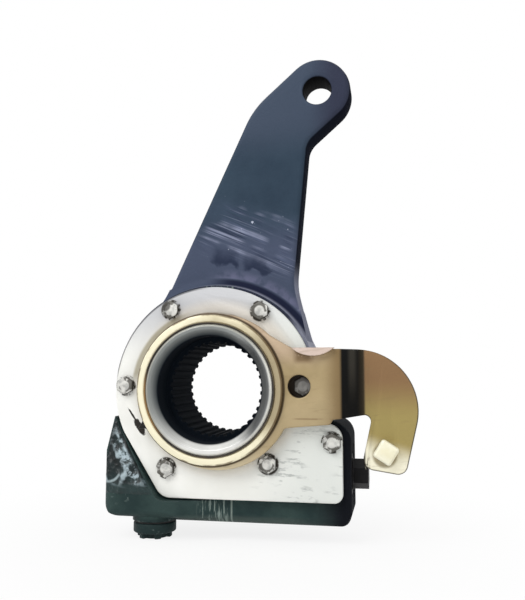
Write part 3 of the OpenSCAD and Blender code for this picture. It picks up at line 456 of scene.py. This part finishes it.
def rounded_copy(node, radius, steps=3, crisp=()):
    """A copy of a CAD piece: doubles merged, flats joined, and keen edges rounded to a radius in steps.

    Edges stay crisp inside each ring of crisp, given as the X and Z of its line along Y and two radii.
    """
    double, flat, keen_turn = 2e-6, math.radians(0.6), math.radians(32)
    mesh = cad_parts[node].data.copy()
    mesh.materials.clear()
    work = bmesh.new()
    work.from_mesh(mesh)
    bmesh.ops.remove_doubles(work, verts=work.verts, dist=double)
    bmesh.ops.dissolve_limit(work, angle_limit=flat, verts=work.verts, edges=work.edges)
    weight = work.edges.layers.float.new("bevel_weight_edge")
    for edge in work.edges:
        middle = (edge.verts[0].co + edge.verts[1].co) / 2
        kept = any(low < math.hypot(middle.x - x, middle.z - z) < high for x, z, low, high in crisp)
        keen = edge.calc_face_angle(0.0) > keen_turn
        edge[weight] = float(keen and not kept)
        edge.smooth = not (keen and kept)
    work.to_mesh(mesh)
    work.free()
    mesh.polygons.foreach_set("use_smooth", np.ones(len(mesh.polygons), bool))
    piece = show(node + "_skin", mesh)
    bevel = piece.modifiers.new("rounding", "BEVEL")
    bevel.width = radius
    bevel.segments = steps
    bevel.limit_method = "WEIGHT"
    bevel.use_clamp_overlap = False
    bevel.harden_normals = True
    return piece


def stand_for(piece, node, body, finish):
    """The piece takes the CAD node's place, rides on its body and wears the finish."""
    piece.data.materials.append(finish)
    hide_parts(node)
    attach(piece, body)


root_radius = 0.0556
lever = rounded_copy("lever", radius=0.0026, steps=4,
                     crisp=((*eye_axis, 0.0, seam_radius), (*hub_axis, 0.0, root_radius)))
stand_for(lever, "lever", "housing", lever_paint)

# Clevis bush
# A hardened steel bush is pressed into the lever eye, ground flush with it and painted over.
bush_paint, tree, shader, position, axes = new_finish("bush_paint")
skin = skin_of(tree, position, fine=620.0, patch=120.0)
paint = coat(tree, skin["Patches"], tone(66, 76, 92), tone(72, 82, 98))
paint = coat(tree, fade(tree, axes["X"], 0.042, 0.058), paint, tone(57, 61, 77))
# its wall is painted black as shade
wall = meet_masks(tree, fade(tree, round_about(tree, axes, eye_axis), 0.0078, 0.0073),
                  fade(tree, axes["Y"], 0.0071, 0.0079))
paint = coat(tree, wall, paint, tone(9, 8, 13))
feed(tree, shader, {"Base Color": paint, "Roughness": 0.7, "Specular IOR Level": 0.04})
raise_skin(tree, shader, skin["Height"], depth=0.0001)
bush = rounded_copy("lever_bush", radius=0.0009, crisp=((*eye_axis, 0.0082, seam_radius),))
stand_for(bush, "lever_bush", "housing", bush_paint)

# Front cover and gasket
# The cover is a stamped steel plate with bright zinc, laid on a thin fibre gasket. It is smudged at
# the right lobe, warm with old grease round the collar and dark with grime round the screws.
screw_circle = 0.0424
screw_turns = np.radians([2, 58, 119, 178, 239, 308])
screw_places = [(screw_circle * math.cos(turn), screw_circle * math.sin(turn)) for turn in screw_turns]
screw_places.append((0.0550, -0.0233))
arm_hole = (0.0412, 0.0015)
arm_ring_radius = 0.0346


def about_screws(tree, axes, inner, outer, soft):
    """A round band about each of the cover screws."""
    joined = 0.0
    for spot in screw_places:
        joined = sum_up(tree, "MAXIMUM", joined, ring_mask(tree, axes, spot, inner, outer, soft))
    return joined


bright_zinc, tree, shader, position, axes = new_finish("bright_zinc")
skin = skin_of(tree, position, fine=900.0, patch=45.0)
plate = coat(tree, skin["Patches"], tone(244, 244, 238), tone(252, 252, 247))
plate = coat(tree, fade(tree, axes["Z"], 0.008, 0.04), plate, tone(196, 197, 200))
plate = coat(tree, fade(tree, axes["X"], 0.008, 0.045), plate, tone(226, 229, 224))
dashes = streaks_of(tree, position, -4, along=150.0, across=560.0, breaks=90.0)
smudge = meet_masks(tree, dashes, fade(tree, axes["X"], 0.012, 0.03), fade(tree, axes["Z"], -0.012, -0.02))
plate = coat(tree, smudge, plate, tone(140, 144, 142), share=0.55)
warm = ring_mask(tree, axes, (0.002, 0.001), 0.03, 0.0365, soft=0.006)
plate = coat(tree, warm, plate, tone(236, 226, 208), share=0.5)
grime = meet_masks(tree, about_screws(tree, axes, 0.0, 0.0046, soft=0.0006),
                   fade(tree, noise_of(tree, position, 330.0, 4.0), 0.44, 0.54))
plate = coat(tree, grime, plate, tone(64, 60, 54))
# behind the arm's hole the plate is painted dark as shade
plate = coat(tree, ring_mask(tree, axes, arm_hole, 0.0, 0.0062, soft=0.0008), plate, tone(58, 48, 40))
# a broken brown line runs round the arm's ring
ring_line = meet_masks(tree, ring_mask(tree, axes, hub_axis, arm_ring_radius, 0.0354, soft=0.0007),
                  fade(tree, noise_of(tree, position, 60.0, 2.0), 0.46, 0.6))
plate = coat(tree, ring_line, plate, tone(126, 104, 72), share=0.75)
# an olive band is painted outside the ring on the upper left as shadow, and a black smear lies by the
# pointer
painted_shadow_band = meet_masks(tree, ring_mask(tree, axes, (-0.0023, -0.0002), 0.0345, 0.0364, soft=0.0016),
                  fade(tree, axes["X"], -0.008, -0.02), fade(tree, axes["Z"], 0.001, 0.008))
plate = coat(tree, painted_shadow_band, plate, tone(160, 151, 122), share=0.75)
smear_turn = (0.0, math.radians(55), 0.0)
uneven = sum_up(tree, "MULTIPLY", noise_of(tree, position, 300.0), 0.9)
for spot, size in (((-0.0352, 0.0, -0.0177), (0.0055, 1.0, 0.0020)),
                   ((-0.0385, 0.0, -0.0129), (0.0062, 1.0, 0.0006))):
    smear = place(tree, "ShaderNodeMapping",
                  {"Vector": position, "Location": spot, "Scale": size, "Rotation": smear_turn},
                  vector_type="TEXTURE").outputs[0]
    reach = place(tree, "ShaderNodeVectorMath", {0: smear}, operation="LENGTH").outputs["Value"]
    smeared = fade(tree, sum_up(tree, "ADD", reach, uneven), 1.35, 1.15)
    plate = coat(tree, smeared, plate, tone(40, 36, 32))
# the upper left edge is dark, and the others are worn to a grey
outline = meet_masks(tree, fade(tree, round_about(tree, axes, hub_axis), 0.0466, 0.0472),
                     fade(tree, axes["X"], 0.0, -0.012), fade(tree, axes["Z"], 0.002, 0.01))
plate = coat(tree, outline, plate, tone(66, 67, 72), share=0.8)
plate = coat(tree, worn_edges(tree, position, width=0.0007), plate, tone(120, 122, 122))
feed(tree, shader, {"Base Color": plate, "Roughness": spread(tree, skin["Patches"], 0.42, 0.55),
                    "Metallic": 0.1, "Specular IOR Level": 0.25})
raise_skin(tree, shader, skin["Height"], depth=0.00008)
cover = rounded_copy("front_cover", radius=0.0005)
stand_for(cover, "front_cover", "housing", bright_zinc)

fibre, tree, shader, position, _ = new_finish("gasket_fibre")
skin = skin_of(tree, position, fine=1500.0, patch=300.0)
felted = coat(tree, skin["Patches"], tone(38, 40, 38), tone(54, 56, 52))
feed(tree, shader, {"Base Color": felted, "Roughness": 0.9})
raise_skin(tree, shader, skin["Height"], depth=0.0001)
dress("cover_gasket", fibre)

# Cover screws
# Hexagon head screws with bright zinc hold the cover down. Their flanks are dark with grease.
screw_zinc, tree, shader, position, axes = new_finish("screw_zinc")
skin = skin_of(tree, position, fine=1200.0, patch=400.0)
plate = coat(tree, skin["Patches"], tone(176, 176, 172), tone(222, 221, 215))
plate = coat(tree, fade(tree, normal_of(tree)["Y"], -0.92, -0.55), plate, tone(64, 62, 58))
# a ragged dark rim of grease lies on each head
rims = meet_masks(tree, about_screws(tree, axes, 0.0026, 0.006, soft=0.0006),
                  fade(tree, noise_of(tree, position, 240.0, 4.0), 0.42, 0.5))
plate = coat(tree, rims, plate, tone(66, 63, 56), share=0.9)
# the one at the upper left is painted black on its outer side as shade
outer_side = ring_mask(tree, axes, (-0.0228, 0.0390), 0.0, 0.0021, soft=0.0009)
plate = coat(tree, outer_side, plate, tone(56, 54, 50), share=0.85)
# the one seen through the arm's hole is painted darker as shade
painted_shade_screw = ring_mask(tree, axes, (screw_circle, arm_hole[1]), 0.0, 0.006, soft=0.001)
plate = coat(tree, painted_shade_screw, plate, tone(92, 88, 84), share=0.75)
feed(tree, shader, {"Base Color": plate, "Roughness": 0.42, "Metallic": 0.25})
raise_skin(tree, shader, skin["Height"], depth=0.00006)
screws = rounded_copy("cover_screws", radius=0.0004)
stand_for(screws, "cover_screws", "housing", screw_zinc)

# Worm wheel hub
# The worm wheel is cut from steel in one with its hub, which is turned and polished at the mouth.
# The bore and its spline are painted black as shade.
hub_steel, tree, shader, position, axes = new_finish("hub_steel")
skin = skin_of(tree, position, fine=500.0, patch=80.0)
steel = coat(tree, skin["Patches"], tone(218, 218, 214), tone(236, 236, 232))
# fine lines are left from turning
radius = round_about(tree, axes, hub_axis)
spun = place(tree, "ShaderNodeCombineXYZ", {"X": radius, "Y": axes["Y"]}).outputs[0]
turned_lines = noise_of(tree, spun, 2600.0, 2.0)
steel = coat(tree, fade(tree, turned_lines, 0.45, 0.7), steel, tone(140, 142, 142), share=0.3)
# the upper left of the mouth is painted grey as shade, darker further in, and the bore is painted black as
# shade
shade_up, shade_left = 0.75, 0.66
slope = sum_up(tree, "SUBTRACT", sum_up(tree, "MULTIPLY", axes["Z"], shade_up),
               sum_up(tree, "MULTIPLY", axes["X"], shade_left))
painted_shade_upper_left = sum_up(tree, "MULTIPLY", fade(tree, slope, -0.016, 0.016), 0.85)
steel = coat(tree, painted_shade_upper_left, steel, tone(104, 109, 108))
shaded = meet_masks(tree, painted_shade_upper_left, fade(tree, radius, 0.0276, 0.0248))
steel = coat(tree, shaded, steel, tone(48, 54, 58))
steel = coat(tree, fade(tree, radius, 0.0281, 0.0293), steel, tone(210, 208, 194), share=0.6)
# the right side of the mouth is painted dark as shade
painted_shade_right_side = meet_masks(tree, fade(tree, axes["X"], 0.012, 0.022), fade(tree, radius, 0.0289, 0.0278))
steel = coat(tree, painted_shade_right_side, steel, tone(44, 48, 52), share=0.85)
# the bore is painted black as shade
painted_shade_bore = meet_masks(tree, fade(tree, radius, 0.0252, 0.0244), fade(tree, axes["Y"], -0.0125, -0.0102))
steel = coat(tree, painted_shade_bore, steel, tone(25, 30, 36))
feed(tree, shader, {"Base Color": steel, "Roughness": spread(tree, painted_shade_bore, 0.34, 0.8),
                    "Metallic": spread(tree, painted_shade_bore, 0.35, 0.0), "Specular IOR Level": 0.03})
raise_skin(tree, shader, sum_up(tree, "ADD", skin["Height"], turned_lines), depth=0.00004, soft=0.0009)
dress("worm_wheel", hub_steel)

# Control arm
# The arm is a bent steel plate with yellow zinc, which is pinkish at the lip, brown and olive on the
# hook and pale at its end. The bend is painted near black as deep shade, with one paler streak painted
# through it as light.
yellow_zinc, tree, shader, position, axes = new_finish("yellow_zinc")
skin = skin_of(tree, position, fine=800.0, patch=55.0)
plate = coat(tree, skin["Patches"], tone(148, 130, 93), tone(172, 152, 114))
# the ring and the lower side of the neck are paler
plate = coat(tree, fade(tree, axes["Z"], 0.004, -0.011), plate, tone(192, 172, 135), share=0.55)
paler = meet_masks(tree, fade(tree, axes["X"], 0.034, 0.004), fade(tree, axes["Z"], -0.008, -0.026))
plate = coat(tree, paler, plate, tone(218, 205, 174), share=0.8)
# the plate is painted darker towards the bend as shade where it curves away
plate = coat(tree, fade(tree, axes["X"], 0.05, 0.06), plate, tone(130, 108, 74))
# the hook goes from brown through olive to a pale end
hook = fade(tree, axes["X"], 0.066, 0.07)
plate = coat(tree, hook, plate, tone(134, 104, 72))
olive = meet_masks(tree, hook, fade(tree, axes["Z"], 0.006, -0.014))
plate = coat(tree, olive, plate, tone(160, 143, 88))
slanted = slanted_height(tree, axes, fall=0.3)
pale = meet_masks(tree, fade(tree, axes["X"], 0.06, 0.066), fade(tree, slanted, 0.003, -0.0075))
plate = coat(tree, pale, plate, tone(252, 247, 222))
# the lip and the plate near it are pinkish; the lip is painted pale as a highlight, a brown patch below it
# is painted as its shadow, and a darker line at the lower edge is painted as the shade of a crease
blush = meet_masks(tree, fade(tree, axes["Z"], 0.008, 0.018), fade(tree, axes["X"], 0.058, 0.046))
plate = coat(tree, blush, plate, tone(196, 172, 150), share=0.6)
painted_highlight_lip = meet_masks(tree, fade(tree, axes["Y"], -0.0101, -0.0105), fade(tree, axes["Z"], 0.012, 0.0135))
plate = coat(tree, painted_highlight_lip, plate, tone(214, 194, 182))
pale_edge_and_lip_shadow = meet_masks(tree, fade(tree, axes["X"], 0.0375, 0.0412), fade(tree, axes["X"], 0.0492, 0.0448),
                    fade(tree, axes["Z"], 0.0108, 0.0136), fade(tree, axes["Y"], -0.0103, -0.01),
                    fade(tree, noise_of(tree, position, 420.0), 0.3, 0.45))
plate = coat(tree, pale_edge_and_lip_shadow, plate, tone(104, 80, 50), share=0.75)
crease_shade = meet_masks(tree, fade(tree, axes["Z"], -0.0133, -0.0129), fade(tree, axes["Z"], -0.0122, -0.0126),
                    fade(tree, axes["X"], 0.036, 0.042), fade(tree, axes["X"], 0.058, 0.052),
                    fade(tree, noise_of(tree, position, 160.0, 2.0), 0.4, 0.55))
plate = coat(tree, crease_shade, plate, tone(120, 96, 64), share=0.55)
streaks = streaks_of(tree, position, 8, along=70.0, across=520.0, breaks=90.0)
plate = coat(tree, streaks, plate, tone(132, 112, 78), share=0.25)
# the ring is brown at its foot, the pointer is black, and the bolt head shades the hook
foot = ring_mask(tree, axes, hub_axis, 0.034, arm_ring_radius, soft=0.0006)
plate = coat(tree, foot, plate, tone(62, 48, 28), share=0.9)
pointer = meet_masks(tree, fade(tree, axes["X"], -0.0285, -0.0295), fade(tree, axes["Z"], -0.013, -0.014))
plate = coat(tree, pointer, plate, tone(24, 22, 20))
shade = ring_mask(tree, axes, (0.078, -0.0288), 0.0, 0.0046, soft=0.0016)
plate = coat(tree, shade, plate, tone(124, 108, 70), share=0.75)
# the bend is painted near black as deep shade, and one paler streak is painted through it as light
painted_shade_bend = meet_masks(tree, fade(tree, axes["X"], 0.0588, 0.0604), fade(tree, axes["X"], 0.0702, 0.0688))
plate = coat(tree, painted_shade_bend, plate, tone(9, 9, 8))
painted_light_streak = meet_masks(tree, fade(tree, axes["X"], 0.062, 0.064), fade(tree, axes["X"], 0.067, 0.0648),
                   fade(tree, axes["Z"], -0.009, 0.013))
plate = coat(tree, painted_light_streak, plate, tone(84, 80, 72), share=0.45)
# edges are worn, the brink of the hook is painted dark as shade, and so is the wall of the hole
plate = coat(tree, worn_edges(tree, position, width=0.0008), plate, tone(110, 90, 58), share=0.6)
outward = normal_of(tree)
painted_shade_brink = sum_up(tree, "MAXIMUM", fade(tree, outward["X"], 0.12, 0.5), fade(tree, outward["Z"], -0.12, -0.5))
plate = coat(tree, meet_masks(tree, hook, painted_shade_brink), plate, tone(66, 58, 44), share=0.85)
painted_shade_hole_wall = meet_masks(tree, ring_mask(tree, axes, arm_hole, 0.0, 0.0051, soft=0.0002),
                    fade(tree, axes["Y"], -0.0096, -0.009))
plate = coat(tree, painted_shade_hole_wall, plate, tone(48, 40, 34))
rough = spread(tree, skin["Patches"], 0.36, 0.5)
rough = sum_up(tree, "MAXIMUM", rough, sum_up(tree, "MULTIPLY", painted_shade_bend, 0.95))
feed(tree, shader, {"Base Color": plate, "Roughness": rough, "Metallic": 0.15, "Specular IOR Level": 0.3})
raise_skin(tree, shader, skin["Height"], depth=0.00008)
lip_ring = (0.0475, 0.018, 0.0, 0.0125)
arm = rounded_copy("control_arm", radius=0.0007, crisp=(lip_ring,))
stand_for(arm, "control_arm", "control_arm", yellow_zinc)

# Control sleeve
# The sleeve is turned from steel and plated. It runs on the hub and carries the arm, and only its pale
# gold collar shows, round the seal.
collar_gold, tree, shader, position, axes = new_finish("collar_gold")
skin = skin_of(tree, position, fine=800.0, patch=70.0)
plate = coat(tree, skin["Patches"], tone(208, 197, 164), tone(230, 220, 188))
paler = sum_up(tree, "MAXIMUM", fade(tree, axes["X"], 0.006, -0.016), fade(tree, axes["Z"], -0.012, -0.026))
plate = coat(tree, paler, plate, tone(252, 245, 214), share=0.85)
dull = meet_masks(tree, fade(tree, axes["X"], 0.016, 0.027), fade(tree, axes["Z"], -0.022, -0.012))
plate = coat(tree, dull, plate, tone(148, 132, 98), share=0.8)
# its outer edge is stained, and painted brown on the right as shade on its wall
stain = meet_masks(tree, ring_mask(tree, axes, hub_axis, 0.0336, 0.036, soft=0.0005),
                   fade(tree, noise_of(tree, position, 120.0), 0.4, 0.6))
plate = coat(tree, stain, plate, tone(110, 90, 54), share=0.8)
brown = meet_masks(tree, ring_mask(tree, axes, hub_axis, 0.0334, 0.036, soft=0.0003),
                   fade(tree, axes["X"], 0.014, 0.028))
plate = coat(tree, brown, plate, tone(98, 78, 48), share=0.8)
feed(tree, shader, {"Base Color": plate, "Roughness": 0.4, "Metallic": 0.15})
raise_skin(tree, shader, skin["Height"], depth=0.00006)
collar = rounded_copy("control_sleeve", radius=0.0008)
stand_for(collar, "control_sleeve", "control_arm", collar_gold)

# Anchor bolt and nut
# A plated steel bolt with a rounded square head is nutted to the hook. Its long stud holds the arm to
# the axle.
pale_zinc, tree, shader, position, _ = new_finish("pale_zinc")
skin = skin_of(tree, position, fine=900.0, patch=160.0)
plate = coat(tree, skin["Patches"], tone(244, 238, 206), tone(252, 249, 226))
feed(tree, shader, {"Base Color": plate, "Roughness": 0.45, "Metallic": 0.1})
raise_skin(tree, shader, skin["Height"], depth=0.00008)
bolt = rounded_copy("anchor_bolt", radius=0.0014, steps=4)
stand_for(bolt, "anchor_bolt", "control_arm", pale_zinc)
nut = rounded_copy("anchor_nut", radius=0.0006)
stand_for(nut, "anchor_nut", "control_arm", pale_zinc)

# Worm shaft, end caps and rack plug
# The adjusting hex at the end of the worm shaft is blackened steel. Threaded caps close the barrel,
# and the rack plug is screwed up from below; they are painted over with the housing.
black_steel, tree, shader, position, _ = new_finish("black_steel")
skin = skin_of(tree, position, fine=700.0, patch=200.0)
steel = coat(tree, skin["Patches"], tone(13, 12, 14), tone(23, 22, 25))
steel = coat(tree, worn_edges(tree, position, width=0.0007), steel, tone(86, 84, 86), share=0.5)
feed(tree, shader, {"Base Color": steel, "Roughness": 0.5, "Metallic": 0.1, "Specular IOR Level": 0.2})
raise_skin(tree, shader, skin["Height"], depth=0.0001)
dress("worm_shaft", black_steel)
for node in ("worm_end_cap", "clutch_end_cap", "rack_plug"):
    cap = rounded_copy(node, radius=0.0006)
    stand_for(cap, node, "housing", cast_paint)

# Seals
# Black rubber rings close the hub, the cover, the worm shaft and the rack plug. The one round the hub
# is packed with old grease, tan at its outer side and black at the lip.
rubber, tree, shader, position, _ = new_finish("seal_rubber")
skin = skin_of(tree, position, fine=1500.0, patch=250.0)
moulded = coat(tree, skin["Patches"], tone(20, 20, 21), tone(34, 33, 33))
feed(tree, shader, {"Base Color": moulded, "Roughness": 0.7})
raise_skin(tree, shader, skin["Height"], depth=0.00006)
for node in ("cover_seal", "rear_seal", "worm_shaft_seal", "plug_seal"):
    ring = rounded_copy(node, radius=0.0003)
    stand_for(ring, node, "housing", rubber)

packed, tree, shader, position, axes = new_finish("packed_seal")
skin = skin_of(tree, position, fine=1200.0, patch=110.0)
filled = coat(tree, skin["Patches"], tone(30, 25, 20), tone(52, 43, 32))
golden = meet_masks(tree, fade(tree, axes["X"], -0.02, -0.027), fade(tree, axes["Z"], 0.01, 0.0))
filled = coat(tree, golden, filled, tone(138, 106, 64))
rim = fade(tree, round_about(tree, axes, hub_axis), 0.0302, 0.0309)
filled = coat(tree, rim, filled, tone(150, 132, 92))
filled = coat(tree, meet_masks(tree, rim, skin["Patches"]), filled, tone(196, 184, 148))
feed(tree, shader, {"Base Color": filled, "Roughness": 0.6})
raise_skin(tree, shader, skin["Height"], depth=0.0001)
lip_seal = rounded_copy("hub_seal", radius=0.0003)
stand_for(lip_seal, "hub_seal", "control_arm", packed)

# Inner steel and bronze
# Springs, races, balls, clutch, rack and disc are bright oiled steel; the cage and the bush are bronze.
for name, nodes, dark, light in (
        ("oiled_steel", ("spring_seat", "clutch_ring", "clutch_pinion", "pinion_washer", "rack",
                         "control_disc", "thrust_spring", "wrap_spring"), (112, 113, 116), (150, 151, 154)),
        ("ground_steel", ("inner_race", "outer_race", "thrust_balls"), (176, 178, 182), (206, 208, 212)),
        ("bronze", ("ball_cage", "worm_bush"), (150, 112, 56), (190, 150, 84))):
    metal, tree, shader, position, _ = new_finish(name)
    skin = skin_of(tree, position, fine=900.0, patch=220.0)
    oiled = coat(tree, skin["Patches"], tone(*dark), tone(*light))
    feed(tree, shader, {"Base Color": oiled, "Roughness": 0.32, "Metallic": 0.9})
    raise_skin(tree, shader, skin["Height"], depth=0.00004)
    for node in nodes:
        dress(node, metal)

# Rack spring
# A coil of round spring wire stands in the hollow of the rack plug and lifts the rack.


def wire_coil(name, middle, radius, wire, low, high, turns):
    """A round wire on a helix with closed ends: it turns evenly about Z as it climbs from low to high."""
    turn_steps, wire_sides = 36, 12
    turn = np.linspace(0, 2 * np.pi * turns, turn_steps * turns + 1)[:, None]
    about = np.linspace(0, 2 * np.pi, wire_sides, endpoint=False)[None, :]
    reach = radius + wire * np.cos(about)
    climb = low + (high - low) * turn / turn[-1] + wire * np.sin(about)
    points = np.stack([middle[0] + reach * np.cos(turn), middle[1] + reach * np.sin(turn), climb], -1)
    index = np.arange(points.shape[0] * points.shape[1]).reshape(points.shape[:2])
    beside = np.roll(index, -1, axis=1)
    sides = np.stack([index[:-1], index[1:], beside[1:], beside[:-1]], -1).reshape(-1, 4)
    ends = [index[0].tolist(), index[-1, ::-1].tolist()]
    mesh = bpy.data.meshes.new(name)
    mesh.from_pydata(points.reshape(-1, 3).tolist(), [], sides.tolist() + ends)
    mesh.polygons.foreach_set("use_smooth", np.arange(len(mesh.polygons)) < len(sides))
    return show(name, mesh)


spring_radius, spring_wire, spring_turns = 0.0032, 0.00048, 5
spring_foot, spring_head = -0.06743, -0.05057
coil = wire_coil("rack_spring_coil", (-0.03, 0.00523), spring_radius, spring_wire,
                 spring_foot + spring_wire, spring_head - spring_wire, spring_turns)
stand_for(coil, "rack_spring", "rack", bpy.data.materials["oiled_steel"])
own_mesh(coil)

# Floor
# A plain pale floor lies just under the rack plug. It fades to white away from the object.
floor_level = -0.0692
floor_reach = 3.0
floor_mesh = bpy.data.meshes.new("floor")
floor_corners = np.array([(-1, -1), (1, -1), (1, 1), (-1, 1)]) * floor_reach
floor_mesh.from_pydata([(x, y, floor_level) for x, y in floor_corners], [], [(0, 1, 2, 3)])
floor = show("floor", floor_mesh)


def seen_rays(tree):
    """A mask that is 1 for what is looked at, straight or by mirror or glass, and 0 for falling light."""
    rays = place(tree, "ShaderNodeLightPath", {}).outputs
    seen = sum_up(tree, "MAXIMUM", rays["Is Camera Ray"], rays["Is Glossy Ray"])
    return sum_up(tree, "MAXIMUM", seen, rays["Is Transmission Ray"])


white = (1.0, 1.0, 1.0, 1.0)
pale_floor, tree, shader, position, _ = new_finish("pale_floor")
feed(tree, shader, {"Base Color": tone(250, 250, 250), "Roughness": 0.9, "Specular IOR Level": 0.0})
distance = place(tree, "ShaderNodeVectorMath", {0: position}, operation="LENGTH").outputs["Value"]
far = meet_masks(tree, fade(tree, distance, -0.35, 0.22), seen_rays(tree))
glow = place(tree, "ShaderNodeEmission", {"Color": white, "Strength": 1.0})
fading = place(tree, "ShaderNodeMixShader", {0: far, 1: shader.outputs[0], 2: glow.outputs[0]})
feed(tree, tree.nodes["Material Output"], {"Surface": fading.outputs[0]})
floor_mesh.materials.append(pale_floor)

# Light
# A white surround and two large soft lamps, the stronger one from the upper left of the front.
surround = bpy.data.worlds.new("surround")
surround.use_nodes = True
bpy.context.scene.world = surround
tree = surround.node_tree
fill = tree.nodes["Background"]
feed(tree, fill, {"Color": white, "Strength": 0.45})
backdrop = place(tree, "ShaderNodeBackground", {"Color": white, "Strength": 1.0})
both = place(tree, "ShaderNodeMixShader", {0: seen_rays(tree), 1: fill.outputs[0], 2: backdrop.outputs[0]})
feed(tree, tree.nodes["World Output"], {"Surface": both.outputs[0]})
aim = Vector((0.015, 0.0, 0.03))
for name, spot, size, power in (("key", (-0.45, -0.65, 0.75), 0.7, 7.2),
                                ("side", (0.8, -0.6, 0.25), 0.8, 1.8)):
    lamp = show(name, bpy.data.lights.new(name, "AREA"))
    lamp.data.size = size
    lamp.data.energy = power
    lamp.location = spot
    lamp.rotation_euler = (aim - Vector(spot)).to_track_quat("-Z", "Y").to_euler()

# Camera
# It stands to the right of the hub and a little above it, looking left and slightly up.
camera = show("camera", bpy.data.cameras.new("camera"))
camera.data.lens = 40.86
camera.data.sensor_width = 36.0
camera.data.clip_start = 0.01
camera.location = (0.0831, -0.3112, 0.00785)
camera.rotation_euler = Vector((-0.18891, 0.97634, 0.10514)).to_track_quat("-Z", "Y").to_euler()
bpy.context.scene.camera = camera
bpy.context.scene.view_settings.view_transform = "Standard"
